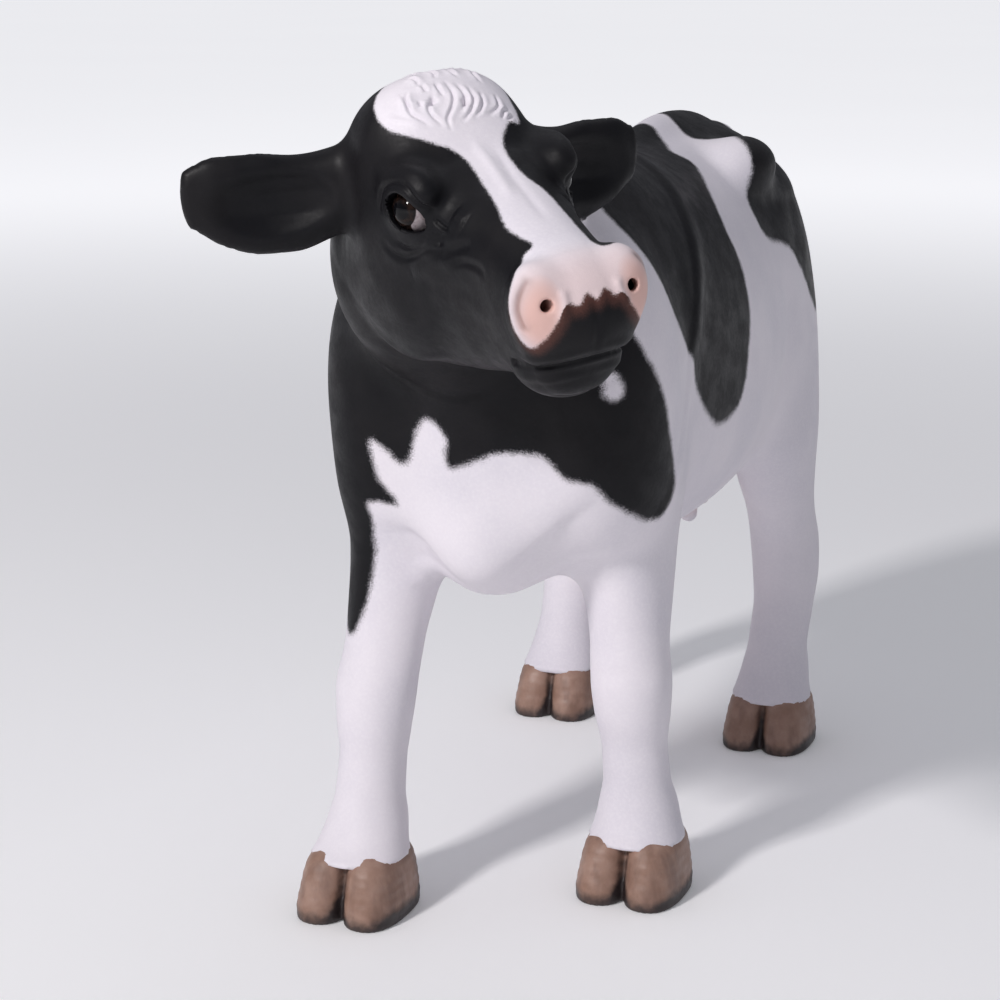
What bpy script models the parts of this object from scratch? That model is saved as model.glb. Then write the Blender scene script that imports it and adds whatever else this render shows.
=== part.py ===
"""Toy cow figure, about 1:16: a standing Holstein with its head turned to its left.

Metres, +Z up, the figure faces -Y, its left side is +X, the soles are at Z = 0.
The flesh is lofted and blended whole, then parted into named pieces by thin cuts.
All the tables below are in millimetres.
"""
import math

import bmesh
import bpy
import numpy as np
from mathutils import Matrix, Vector

MM = 0.001
GAP = 0.3                      # clear cut between two neighbouring pieces
CENTRE = (2.60, -11.05)        # x, y of the middle of the whole figure's box, moved to the origin

# ------------------------------------------------------------------ driving dimensions
# trunk sections along the back: y, top, bottom, half-width, height of the widest line, squareness
TRUNK = [
    (-42, 64.0, 43.6, 11.0, 54.0, 2.2),
    (-38, 75.0, 40.4, 15.0, 56.0, 2.2),
    (-31, 85.0, 38.8, 17.6, 58.0, 2.2),
    (-20, 89.2, 37.9, 18.4, 59.0, 2.2),
    (-8, 88.2, 36.9, 19.4, 58.0, 2.2),
    (4, 87.2, 36.6, 20.0, 57.0, 2.15),
    (15, 87.6, 37.2, 19.5, 57.5, 2.15),
    (25, 89.0, 39.5, 18.4, 60.0, 2.15),
    (34, 89.4, 43.5, 17.2, 64.0, 2.15),
    (42, 87.6, 49.0, 15.0, 67.0, 2.1),
    (48, 83.6, 57.0, 11.6, 70.0, 2.0),
]
# leg sections, upward: z, out, back, half-width inside, outside, half-depth front, back, squareness
FRONT_LEG = [
    (7.0, 0.0, 0.6, 5.6, 5.6, 5.6, 5.4, 2.3),
    (8.6, 0.0, 1.2, 5.2, 5.2, 4.9, 5.0, 2.2),
    (11.0, 0.0, 1.6, 4.7, 4.7, 4.5, 5.2, 2.1),
    (14.0, 0.0, 1.5, 4.1, 4.1, 4.0, 4.3, 2.0),
    (18.0, 0.0, 1.3, 4.0, 4.0, 3.9, 3.9, 2.0),
    (22.5, 0.0, 1.0, 4.5, 4.6, 4.6, 4.4, 2.1),
    (26.5, 0.1, 0.9, 4.8, 4.9, 4.9, 4.6, 2.1),
    (31.0, 0.0, 1.4, 4.8, 4.8, 4.8, 5.0, 2.0),
    (37.0, 0.0, 2.2, 5.5, 5.2, 5.8, 6.6, 2.0),
    (43.0, 0.2, 2.6, 6.2, 5.5, 7.2, 8.6, 2.0),
    (50.0, 0.4, 1.6, 6.5, 5.6, 9.0, 9.5, 2.0),
    (58.0, -0.8, 0.5, 6.5, 5.4, 9.5, 10.0, 2.0),
    (66.0, -2.4, 2.0, 6.0, 5.0, 8.5, 10.0, 2.0),
    (74.0, -4.6, 4.5, 5.0, 4.2, 6.5, 8.0, 2.0),
]
HIND_LEG = [
    (7.0, 0.0, 0.4, 5.5, 5.5, 5.4, 5.3, 2.3),
    (8.6, 0.0, 1.0, 5.1, 5.1, 4.8, 4.9, 2.2),
    (11.0, 0.0, 2.0, 4.7, 4.7, 4.4, 5.2, 2.1),
    (14.5, 0.0, 3.0, 4.2, 4.2, 4.0, 4.4, 2.0),
    (19.0, 0.1, 4.6, 4.2, 4.3, 4.2, 4.4, 2.0),
    (24.0, -0.1, 6.4, 4.7, 4.7, 5.0, 5.0, 2.0),
    (28.5, -0.5, 7.0, 4.9, 4.8, 5.6, 5.6, 2.0),
    (33.0, -0.9, 5.6, 4.8, 4.9, 6.2, 6.4, 2.0),
    (38.5, -1.2, 3.4, 5.4, 5.3, 7.7, 8.2, 2.0),
    (45.0, -1.2, 1.6, 6.6, 5.8, 10.7, 10.7, 2.0),
    (52.0, -1.7, 2.4, 7.8, 5.6, 13.2, 12.5, 2.1),
    (60.0, -2.6, 3.6, 8.6, 5.5, 14.5, 13.0, 2.1),
    (69.0, -4.2, 4.0, 8.6, 5.2, 13.5, 11.5, 2.1),
    (78.0, -6.2, 3.6, 8.0, 4.8, 10.5, 9.0, 2.0),
]
# centre of each sole, and the axis point where each leg enters the body
FEET = {"front_right": (-13.6, -46.8), "front_left": (15.1, -29.2), "hind_left": (15.7, 29.7), "hind_right": (-17.6, 32.6)}
TOPS = {"front_right": (-12.5, -33.0), "front_left": (11.6, -30.0), "hind_left": (13.4, 33.0), "hind_right": (-13.4, 34.2)}
ENTRY = {"front": 58.0, "hind": 60.0}
# hoof sections: z, half-width, half-depth front, back, back shift, squareness
HOOF = [
    (-1.6, 6.4, 6.8, 6.6, 0.0, 2.5),
    (1.2, 6.5, 6.9, 6.7, 0.0, 2.5),
    (4.0, 6.2, 6.5, 6.4, 0.3, 2.4),
    (6.2, 5.9, 6.0, 6.0, 0.5, 2.35),
    (7.8, 5.7, 5.6, 5.7, 0.7, 2.3),
]
HOOF_TOP = 7.3
HIND_HOOF_SCALE = 0.965
# head: its own frame has a forward, b to the cow's left, c up
HEAD_ORIGIN = Vector((2.6, -56.4, 88.9))
HEAD_YAW, HEAD_PITCH, HEAD_ROLL = 48.3, 11.3, 9.6
# skull sections along a: a, sideways shift, top, bottom, half-width, height of the widest line, squareness
SKULL = [
    (-7.0, -0.3, 6.5, -12.0, 7.6, -1.0, 2.2),
    (-3.0, -1.0, 9.8, -17.0, 9.5, 0.0, 2.4),
    (1.0, -1.2, 11.0, -19.5, 9.7, 0.0, 2.4),
    (5.0, -0.8, 9.0, -19.6, 9.5, -1.0, 2.35),
    (10.0, 0.0, 4.9, -18.6, 8.8, -2.5, 2.3),
    (15.0, 0.0, 3.1, -17.0, 7.4, -4.5, 2.3),
    (20.0, 0.0, 2.0, -15.6, 6.3, -5.0, 2.3),
    (25.0, 0.0, 1.0, -14.8, 5.9, -5.6, 2.3),
    (28.0, 0.0, 0.3, -13.8, 5.8, -5.6, 2.3),
]
NECK_START, NECK_END = Vector((0.0, -24.0, 66.0)), Vector((1.2, -50.5, 84.5))
# neck sections, as fractions of its length: t, half-width, below, above
NECK = [(0.0, 16.5, 22.0, 20.0), (0.3, 14.2, 19.0, 18.0), (0.6, 12.0, 15.8, 15.0), (0.82, 10.6, 13.4, 12.5), (1.0, 10.0, 12.0, 11.0)]
# ear sections from its root: distance, upward shift, behind, in front, below, above
EAR = [
    (0.0, -0.4, 3.6, 3.2, 5.4, 3.8),
    (4.0, -1.4, 2.9, 2.6, 5.2, 4.0),
    (8.0, -2.2, 2.5, 2.3, 5.4, 4.8),
    (11.5, -2.2, 2.1, 2.1, 5.3, 5.4),
    (15.0, -1.6, 1.7, 1.8, 4.6, 5.0),
    (18.0, -0.9, 1.2, 1.2, 3.2, 3.6),
]
EAR_DROOP = {"left": -0.24, "right": -0.04}
EAR_SWEEP = {"left": -0.16, "right": -0.26}
EAR_ROOT_HEIGHT = {"left": -0.2, "right": 1.2}
EAR_LENGTH = {"left": 0.93, "right": 1.03}
EYE_CENTRE, EYE_RADIUS = (8.4, 7.3, 0.0), 2.45
# tail centre line from its root: x, y, z, radius
TAIL = [
    (0.0, 43.0, 84.0, 3.4), (0.0, 48.5, 83.6, 3.3), (0.0, 52.6, 80.4, 2.9), (-0.4, 54.2, 74.5, 2.4), (-2.6, 54.6, 62.0, 2.1), (-6.0, 54.6, 49.5, 2.1),
    (-7.8, 54.5, 43.0, 2.7), (-9.6, 54.4, 36.0, 3.4), (-11.2, 54.4, 30.0, 2.8), (-12.6, 54.4, 25.0, 1.2),
]
SWITCH_TOP = 45.5
TEATS = [(4.2, 25.2, 32.6), (4.2, 31.2, 33.8)]


# ------------------------------------------------------------------ tools
def smooth_table(rows, steps):
    """Monotone cubic interpolation of every column against the first."""
    rows = np.array(rows, float)
    x = rows[:, 0]
    xs = np.linspace(x[0], x[-1], steps)
    out = [xs]
    h = np.diff(x)
    for col in rows[:, 1:].T:
        d = np.diff(col) / h
        m = np.zeros_like(col)
        for i in range(1, len(x) - 1):
            if d[i - 1] * d[i] > 0:
                w1, w2 = 2 * h[i] + h[i - 1], h[i] + 2 * h[i - 1]
                m[i] = (w1 + w2) / (w1 / d[i - 1] + w2 / d[i])
        m[0], m[-1] = d[0], d[-1]
        i = np.clip(np.searchsorted(x, xs, side="right") - 1, 0, len(x) - 2)
        t = (xs - x[i]) / h[i]
        out.append((2 * t**3 - 3 * t**2 + 1) * col[i] + (t**3 - 2 * t**2 + t) * h[i] * m[i] + (3 * t**2 - 2 * t**3) * col[i + 1] + (t**3 - t**2) * h[i] * m[i + 1])
    return np.array(out).T


def make_object(name, bm):
    bmesh.ops.recalc_face_normals(bm, faces=bm.faces)
    mesh = bpy.data.meshes.new(name)
    bm.to_mesh(mesh)
    bm.free()
    obj = bpy.data.objects.new(name, mesh)
    bpy.context.scene.collection.objects.link(obj)
    return obj


def skin_rings(name, rings):
    """A closed tube over rings of points (millimetres)."""
    bm = bmesh.new()
    loops = [[bm.verts.new(Vector(p) * MM) for p in ring] for ring in rings]
    for low, high in zip(loops, loops[1:]):
        for i in range(len(low)):
            j = (i + 1) % len(low)
            bm.faces.new((low[i], low[j], high[j], high[i]))
    bm.faces.new(list(reversed(loops[0])))
    bm.faces.new(loops[-1])
    return make_object(name, bm)


def section(centre, across, up, minus_b, plus_b, minus_c, plus_c, n, scale=1.0, count=40):
    ring = []
    for i in range(count):
        angle = 2 * math.pi * (i + 0.5) / count
        cb, sc = math.cos(angle), math.sin(angle)
        b = math.copysign(abs(cb) ** (2 / n), cb) * (plus_b if cb > 0 else minus_b) * scale
        c = math.copysign(abs(sc) ** (2 / n), sc) * (plus_c if sc > 0 else minus_c) * scale
        ring.append(centre + across * b + up * c)
    return ring


def loft(name, rows, origin, along, across, up, start_dome, end_dome, steps=40, grow=0.0, count=40):
    """Superellipse sections: t, shift b, shift c, reach -b, +b, -c, +c, squareness. Domed at both ends."""
    table = smooth_table(rows, steps)
    table[:, 3:7] += grow
    rings = []

    def add(row, extra, scale):
        t, b0, c0, bm_, bp, cm, cp, n = row
        rings.append(section(origin + along * (t + extra) + across * b0 + up * c0, across, up, bm_, bp, cm, cp, n, scale, count))

    domes = (80, 60, 40, 20)
    if start_dome:
        for deg in domes:
            add(table[0], -start_dome * math.sin(math.radians(deg)), math.cos(math.radians(deg)))
    for row in table:
        add(row, 0.0, 1.0)
    if end_dome:
        for deg in reversed(domes):
            add(table[-1], end_dome * math.sin(math.radians(deg)), math.cos(math.radians(deg)))
    return skin_rings(name, rings)


def ellipsoid(name, centre, radii, axes=None, grow=0.0, u=32, v=20):
    bm = bmesh.new()
    turn = Matrix.Identity(4)
    if axes is not None:
        turn = Matrix((axes[0], axes[1], axes[2])).transposed().to_4x4()
    size = Matrix.Diagonal([(r + grow) * MM for r in radii] + [1.0])
    bmesh.ops.create_uvsphere(bm, u_segments=u, v_segments=v, radius=1.0, matrix=Matrix.Translation(Vector(centre) * MM) @ turn @ size)
    return make_object(name, bm)


def box(name, low, high, origin=Vector((0, 0, 0)), axes=None):
    """A block between two corners given along the axes from the origin."""
    axes = axes or (Vector((1, 0, 0)), Vector((0, 1, 0)), Vector((0, 0, 1)))
    bm = bmesh.new()
    size = [h - l for l, h in zip(low, high)]
    mid = origin + sum((a * ((l + h) / 2) for a, l, h in zip(axes, low, high)), Vector((0, 0, 0)))
    turn = Matrix(axes).transposed().to_4x4()
    bmesh.ops.create_cube(bm, size=1.0, matrix=Matrix.Translation(mid * MM) @ turn @ Matrix.Diagonal([s * MM for s in size] + [1.0]))
    return make_object(name, bm)


def apply_modifiers(obj):
    depsgraph = bpy.context.evaluated_depsgraph_get()
    mesh = bpy.data.meshes.new_from_object(obj.evaluated_get(depsgraph))
    obj.modifiers.clear()
    old = obj.data
    obj.data = mesh
    bpy.data.meshes.remove(old)


def discard(*objs):
    for obj in objs:
        bpy.data.objects.remove(obj)


def gather(name, objs):
    """All the shells as one mesh, still overlapping."""
    bm = bmesh.new()
    for obj in objs:
        bm.from_mesh(obj.data)
    discard(*objs)
    mesh = bpy.data.meshes.new(name)
    bm.to_mesh(mesh)
    bm.free()
    obj = bpy.data.objects.new(name, mesh)
    bpy.context.scene.collection.objects.link(obj)
    return obj


def blend(obj, voxel, rounds, factor=0.5):
    """Fuses overlapping shells and softens the valleys between them."""
    remesh = obj.modifiers.new("fuse", "REMESH")
    remesh.mode = "VOXEL"
    remesh.voxel_size = voxel * MM
    soften = obj.modifiers.new("soften", "SMOOTH")
    soften.factor = factor
    soften.iterations = rounds
    apply_modifiers(obj)


def boolean(obj, other, operation):
    mod = obj.modifiers.new("cut", "BOOLEAN")
    mod.object = other
    mod.operation = operation
    mod.solver = "EXACT"
    apply_modifiers(obj)


def copy_of(obj, name):
    twin = obj.copy()
    twin.data = obj.data.copy()
    twin.name = name
    bpy.context.scene.collection.objects.link(twin)
    return twin


def part_off(rest, name, cutter_of):
    """Takes the piece inside the cutter, and clears the gap around it from the rest."""
    piece = copy_of(rest, name)
    inner = cutter_of(0.0)
    boolean(piece, inner, "INTERSECT")
    outer = cutter_of(GAP)
    boolean(rest, outer, "DIFFERENCE")
    discard(inner, outer)
    piece.name = piece.data.name = name
    return piece


# ------------------------------------------------------------------ the figure's parts, before blending
X, Y, Z = Vector((1, 0, 0)), Vector((0, 1, 0)), Vector((0, 0, 1))


def head_axes():
    yaw, pitch, roll = (math.radians(v) for v in (HEAD_YAW, HEAD_PITCH, HEAD_ROLL))
    level = Vector((math.sin(yaw), -math.cos(yaw), 0.0))
    side = Vector((math.cos(yaw), math.sin(yaw), 0.0))
    a = level * math.cos(pitch) - Z * math.sin(pitch)
    c = level * math.sin(pitch) + Z * math.cos(pitch)
    return a, side * math.cos(roll) + c * math.sin(roll), c * math.cos(roll) - side * math.sin(roll)


A, B, C = head_axes()


def on_head(a, b, c):
    return HEAD_ORIGIN + A * a + B * b + C * c


def leg_rows(which):
    rows = FRONT_LEG if which.startswith("front") else HIND_LEG
    side = 1 if which.endswith("left") else -1
    entry = ENTRY[which.split("_")[0]]
    foot, top = FEET[which], TOPS[which]
    out_at, back_at = (float(np.interp(entry, [r[0] for r in rows], [r[k] for r in rows])) for k in (1, 2))
    out = []
    for z, dx, dy, inner, outer, front, back, n in rows:
        g = min(max((z - 7.0) / (entry - 7.0), 0.0), 1.0)
        x = foot[0] + (top[0] - side * out_at - foot[0]) * g + side * dx
        y = foot[1] + (top[1] - back_at - foot[1]) * g + dy
        lo, hi = (inner, outer) if side > 0 else (outer, inner)
        out.append((z, x, y, lo, hi, front, back, n))
    return out


def leg_shell(which):
    return loft(which + "_shell", leg_rows(which), Vector((0, 0, 0)), Z, X, Y, 3.0, 4.0, steps=60)


def hoof_shell(which):
    x, y = FEET[which]
    k = 1.0 if which.startswith("front") else HIND_HOOF_SCALE
    rows = [(z, x, y + dy, w * k, w * k, f * k, b * k, n) for z, w, f, b, dy, n in HOOF]
    return loft(which + "_hoof_shell", rows, Vector((0, 0, 0)), Z, X, Y, 0.0, 0.6, steps=16)


def neck_shell():
    along = NECK_END - NECK_START
    length = along.length
    along.normalize()
    across = (X - along * along.x).normalized()
    up = across.cross(along)
    up = up if up.z > 0 else -up
    rows = [(t * length, 0, 0, w, w, below, above, 2.1) for t, w, below, above in NECK]
    return loft("neck_shell", rows, NECK_START, along, across, up, 3.0, 3.0)


def ear_axes(side):
    s = 1 if side == "left" else -1
    root = on_head(-2.5, 8.0 * s, EAR_ROOT_HEIGHT[side])
    along = (A * EAR_SWEEP[side] + B * s + C * EAR_DROOP[side]).normalized()
    up = C - A * 0.12
    up = (up - along * up.dot(along)).normalized()
    front = along.cross(up)
    if front.dot(A) < 0:
        front = -front
    return root, along, front, up


def ear_shell(side, grow=0.0, start=0.0, dome=2.0):
    root, along, front, up = ear_axes(side)
    rows = [(t * EAR_LENGTH[side], 0, shift, behind, ahead, below, above, 2.0) for t, shift, behind, ahead, below, above in EAR]
    table = smooth_table(rows, 30)
    table = table[table[:, 0] >= start]
    return loft("ear_shell_" + side, [tuple(r) for r in table], root, along, front, up, dome, 1.2 + grow, steps=24, grow=grow)


def ear_bowl(side):
    root, along, front, up = ear_axes(side)
    return ellipsoid("bowl", root + along * 10.8 * EAR_LENGTH[side] + front * 2.9 - up * 1.9, (2.5, 6.5 * EAR_LENGTH[side], 3.7), (front, along, up))


def tail_shell(grow=0.0, drop=0):
    table = smooth_table([(i, *row) for i, row in enumerate(TAIL[drop:])], 48)
    rings = []
    for k, (_, x, y, z, r) in enumerate(table):
        before, after = table[max(k - 1, 0)], table[min(k + 1, len(table) - 1)]
        d = Vector(after[1:4] - before[1:4]).normalized()
        across = (X - d * d.x).normalized()
        rings.append(section(Vector((x, y, z)), across, across.cross(d), r + grow, r + grow, r + grow, r + grow, 2.0, count=20))
    end, r = Vector(table[-1][1:4]), table[-1][4]
    rings.append(section(end + d * (1.0 + grow), across, across.cross(d), 0.5 * r + grow, 0.5 * r + grow, 0.5 * r + grow, 0.5 * r + grow, 2.0, count=20))
    return skin_rings("tail_shell", rings)


def head_blob(name, centre, radii):
    return ellipsoid(name, on_head(*centre), radii, (A, B, C))


for old in list(bpy.data.objects):
    bpy.data.objects.remove(old)

# ------------------------------------------------------------------ flesh: broad masses, fused and softened
body = [
    loft("trunk_shell", [(y, 0, mid, w, w, mid - low, top - mid, n) for y, top, low, w, mid, n in TRUNK], Vector((0, 0, 0)), Y, X, Z, 3.5, 3.0, steps=60),
    neck_shell(),
    ellipsoid("brisket", (0, -37, 45), (6.4, 8.8, 7.4)),
    ellipsoid("neck_bend", (-5.2, -46, 79), (9.4, 12.6, 13.6)),
]
body.append(ellipsoid("rump_ridge", (0, 26, 85.2), (4.4, 17, 4.8)))
for s in (-1, 1):
    body.append(ellipsoid("hip_bone", (11.2 * s, 23, 83.0), (5.0, 6.8, 4.6)))
    body.append(ellipsoid("shoulder", (12.2 * s, -35, 63), (8.6, 10.6, 18.0)))
figure = gather("figure", body)
blend(figure, 0.8, 30)
masses = [
    figure,
    loft("skull", [(a, b0, wide, w, w, wide - low, top - wide, n) for a, b0, top, low, w, wide, n in SKULL], HEAD_ORIGIN, A, B, C, 3.0, 3.2, steps=50),
    head_blob("muzzle", (28.2, 0, -5.6), (4.8, 7.0, 5.3)),
    head_blob("chin", (25.0, 0, -12.0), (4.8, 5.0, 3.7)),
    ellipsoid("udder_mass", (0, 27.5, 42.5), (8.8, 9.4, 5.9)),
]
for which in FEET:
    masses.append(leg_shell(which))
for s in (-1, 1):
    masses.append(head_blob("brow", (8.6, 7.5 * s, 2.6), (4.4, 2.5, 2.5)))
    masses.append(head_blob("cheek", (2.0, 6.6 * s, -10.0), (8.8, 3.8, 8.3)))
    masses.append(head_blob("nostril_wing", (28.6, 4.4 * s, -3.4), (3.0, 2.8, 3.5)))
figure = gather("figure", masses)
blend(figure, 0.7, 16)

# thin parts join after the broad ones are softened
thin = [figure, tail_shell()]
for side in ("left", "right"):
    thin.append(ear_shell(side))
for which in FEET:
    thin.append(hoof_shell(which))
for x, y, tip in TEATS:
    for s in (-1, 1):
        rows = [(tip + 0.9, 0, 0, 1.4, 1.4, 1.4, 1.4, 2.0), (tip + 4.0, 0, 0, 1.8, 1.8, 1.8, 1.8, 2.0), (tip + 8.0, 0, 0, 2.6, 2.6, 2.6, 2.6, 2.0)]
        thin.append(loft("teat", rows, Vector((x * s, y, 0)), Z, X, Y, 0.9, 0.0, steps=10, count=16))
figure = gather("figure", thin)
blend(figure, 0.5, 4)
reduce_ = figure.modifiers.new("reduce", "DECIMATE")
reduce_.ratio = 6600 / (2.0 * len(figure.data.polygons))
apply_modifiers(figure)

# hollows: nostrils, ear bowls, mouth line, eye sockets, flat soles
hollows = [box("floor", (-60, -120, -20), (60, 80, 0)), head_blob("mouth", (29.5, 0, -9.9), (6.0, 6.4, 0.4))]
for side, s in (("left", 1), ("right", -1)):
    hollows.append(ear_bowl(side))
    hollows.append(ellipsoid("nostril", on_head(31.2, 4.6 * s, -3.6), (2.2, 1.2, 1.5), (A, B, C), u=14, v=8))
    hollows.append(ellipsoid("socket", on_head(EYE_CENTRE[0], EYE_CENTRE[1] * s, EYE_CENTRE[2]), (EYE_RADIUS + GAP,) * 3, (A, B, C), u=18, v=12))
for hollow in hollows:
    boolean(figure, hollow, "DIFFERENCE")
discard(*hollows)

# ------------------------------------------------------------------ parting into named pieces
pieces = []
for which in FEET:
    x, y = FEET[which]
    name = which.split("_")[0] + "_hoof_" + which.split("_")[1]
    pieces.append(part_off(figure, name, lambda grow: box("cut", (x - 11, y - 11, -5), (x + 11, y + 11, HOOF_TOP + grow))))
for side in ("left", "right"):
    pieces.append(part_off(figure, "ear_" + side, lambda grow: ear_shell(side, grow=0.9 + grow, start=4.2 - grow, dome=0.0)))
pieces.append(part_off(figure, "tail_switch", lambda grow: box("cut", (-20, 48, 10), (7, 62, SWITCH_TOP + grow))))
pieces.append(part_off(figure, "tail", lambda grow: tail_shell(grow=0.7 + grow, drop=2)))

tilt = math.radians(8.0)
cut_axes = (A * math.cos(tilt) + C * math.sin(tilt), B, C * math.cos(tilt) - A * math.sin(tilt))
pieces.append(part_off(figure, "head", lambda grow: box("cut", (-3.6 - grow, -16, -23.0 - grow), (44, 16, 20), HEAD_ORIGIN, cut_axes)))
lean = math.radians(33.0)
neck_axes = (X, Vector((0, -math.cos(lean), math.sin(lean))), Vector((0, math.sin(lean), math.cos(lean))))
pieces.append(part_off(figure, "neck", lambda grow: box("cut", (-34, -grow, -80), (34, 60, 60), Vector((0, -26.0, 84.0)), neck_axes)))


def leg_cutter(which, grow):
    """A column around the leg with a slanted top: high outside, low inside."""
    front = which.startswith("front")
    side = 1 if which.endswith("left") else -1
    foot, top = FEET[which], TOPS[which]
    rings = []
    outer_z, inner_z = (51.0, 37.5) if front else (66.0, 44.0)
    r_foot, r_top = (9.5, (10.5, 13.5)) if front else (11.0, (11.5, 18.0))
    for k in range(9):
        t = k / 8
        cx, cy = foot[0] + (top[0] - foot[0]) * t, foot[1] + (top[1] - foot[1]) * t
        cy += 0.0 if front else 6.0 * math.sin(math.pi * min(t * 1.6, 1.0)) * 0.6
        rx, ry = r_foot + (r_top[0] - r_foot) * t, r_foot + (r_top[1] - r_foot) * t
        ring = []
        for i in range(32):
            angle = 2 * math.pi * i / 32
            px, py = cx + (rx + grow) * math.cos(angle), cy + (ry + grow) * math.sin(angle)
            reach = (px * side - (top[0] * side - 8.0)) / 16.0
            roof = inner_z + (outer_z - inner_z) * min(max(reach, -0.3), 1.4) + grow * 1.5
            ring.append(Vector((px, py, HOOF_TOP + GAP - 3.0 + (roof - HOOF_TOP - GAP + 3.0) * t)))
        rings.append(ring)
    return skin_rings("leg_cut", rings)


pieces.append(part_off(figure, "udder", lambda grow: ellipsoid("cut", (0, 28.0, 38.0), (8.4, 11.5, 9.0), grow=grow)))
for which in FEET:
    name = which.split("_")[0] + "_leg_" + which.split("_")[1]
    pieces.append(part_off(figure, name, lambda grow: leg_cutter(which, grow)))
figure.name = figure.data.name = "trunk"
pieces.append(figure)

for side, s in (("left", 1), ("right", -1)):
    centre = on_head(EYE_CENTRE[0], EYE_CENTRE[1] * s, EYE_CENTRE[2])
    pieces.append(ellipsoid("eye_" + side, centre, (EYE_RADIUS,) * 3, (A, B, C), u=18, v=12))

# ------------------------------------------------------------------ materials, clean-up, place
COLOURS = {
    "trunk": (0.62, 0.60, 0.63), "neck": (0.03, 0.03, 0.035), "head": (0.035, 0.035, 0.04), "ear": (0.02, 0.02, 0.022),
    "eye": (0.012, 0.009, 0.008), "front_leg": (0.68, 0.66, 0.68), "hind_leg": (0.68, 0.66, 0.68), "front_hoof": (0.26, 0.18, 0.15),
    "hind_hoof": (0.26, 0.18, 0.15), "tail": (0.5, 0.48, 0.5), "tail_switch": (0.6, 0.58, 0.6), "udder": (0.72, 0.52, 0.5),
}
# facets allowed for each piece after the cuts
BUDGET = {"trunk": 2300, "neck": 600, "head": 1800, "ear": 420, "front_leg": 420, "hind_leg": 560, "front_hoof": 170, "hind_hoof": 170, "tail": 260, "tail_switch": 160, "udder": 420}


def keep_main_shell(obj):
    """Drops the slivers that a cut can leave behind."""
    bm = bmesh.new()
    bm.from_mesh(obj.data)
    left, shells = set(bm.verts), []
    while left:
        stack = [left.pop()]
        shell = list(stack)
        while stack:
            for edge in stack.pop().link_edges:
                for vert in edge.verts:
                    if vert in left:
                        left.remove(vert)
                        stack.append(vert)
                        shell.append(vert)
        shells.append(shell)
    shells.sort(key=len)
    bmesh.ops.delete(bm, geom=[v for shell in shells[:-1] for v in shell], context="VERTS")
    bm.to_mesh(obj.data)
    bm.free()


def kind_of(name):
    return name if name in COLOURS else name.rsplit("_", 1)[0]


for piece in pieces:
    keep_main_shell(piece)
    facets = sum(len(p.vertices) - 2 for p in piece.data.polygons)
    limit = BUDGET.get(kind_of(piece.name), facets)
    if facets > limit:
        fewer = piece.modifiers.new("fewer", "DECIMATE")
        fewer.ratio = limit / facets
        apply_modifiers(piece)
    bm = bmesh.new()
    bm.from_mesh(piece.data)
    bmesh.ops.remove_doubles(bm, verts=bm.verts, dist=0.00002)
    bmesh.ops.dissolve_degenerate(bm, edges=bm.edges, dist=0.00001)
    bmesh.ops.triangulate(bm, faces=[f for f in bm.faces if len(f.verts) > 3])
    bmesh.ops.translate(bm, verts=bm.verts, vec=Vector((-CENTRE[0], -CENTRE[1], 0.0)) * MM)
    bm.to_mesh(piece.data)
    bm.free()
    key = kind_of(piece.name)
    material = bpy.data.materials.new(piece.name + "_paint")
    material.use_nodes = True
    shader = material.node_tree.nodes["Principled BSDF"]
    shader.inputs["Base Color"].default_value = (*COLOURS[key], 1.0)
    shader.inputs["Roughness"].default_value = 0.1 if key == "eye" else 0.55
    piece.data.materials.clear()
    piece.data.materials.append(material)
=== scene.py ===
"""Toy cow figure, about 1:16: one painted skin over the parted flesh, with its own hooves and glossy eyes.

The skin is sculpted as a field of blended masses in millimetres, meshed once, refined on the head,
then given folds, hair strokes and airbrushed patches. It is moved to the row's frame at the end.
"""
import math

import bpy
import numpy as np
from mathutils import Matrix, Vector


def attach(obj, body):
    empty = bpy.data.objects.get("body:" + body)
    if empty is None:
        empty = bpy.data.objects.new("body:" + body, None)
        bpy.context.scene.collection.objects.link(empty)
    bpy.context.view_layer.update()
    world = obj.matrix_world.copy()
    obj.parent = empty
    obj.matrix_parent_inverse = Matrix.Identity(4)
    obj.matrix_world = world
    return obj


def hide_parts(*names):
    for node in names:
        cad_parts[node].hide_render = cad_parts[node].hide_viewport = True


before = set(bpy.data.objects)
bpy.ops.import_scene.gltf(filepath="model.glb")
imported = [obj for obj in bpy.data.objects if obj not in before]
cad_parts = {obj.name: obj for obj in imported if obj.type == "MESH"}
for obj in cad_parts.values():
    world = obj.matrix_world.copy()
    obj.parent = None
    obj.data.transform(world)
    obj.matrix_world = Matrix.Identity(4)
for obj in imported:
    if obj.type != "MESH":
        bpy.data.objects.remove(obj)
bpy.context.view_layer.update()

MM = 0.001
CENTRE = np.array([2.60, -11.05, 0.0])      # the sculpting origin, seen from the row's frame

# ================================================================ sculpting tools (numpy, millimetres)
def smin(a, b, k):
    h = np.clip(0.5 + 0.5 * (b - a) / k, 0.0, 1.0)
    return b * (1 - h) + a * h - k * h * (1 - h)


def smax(a, b, k):
    return -smin(-a, -b, k)


def unit(v):
    v = np.asarray(v, float)
    return v / np.linalg.norm(v)


def smoothstep(a, b, x):
    t = np.clip((x - a) / (b - a), 0, 1)
    return t * t * (3 - 2 * t)


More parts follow.
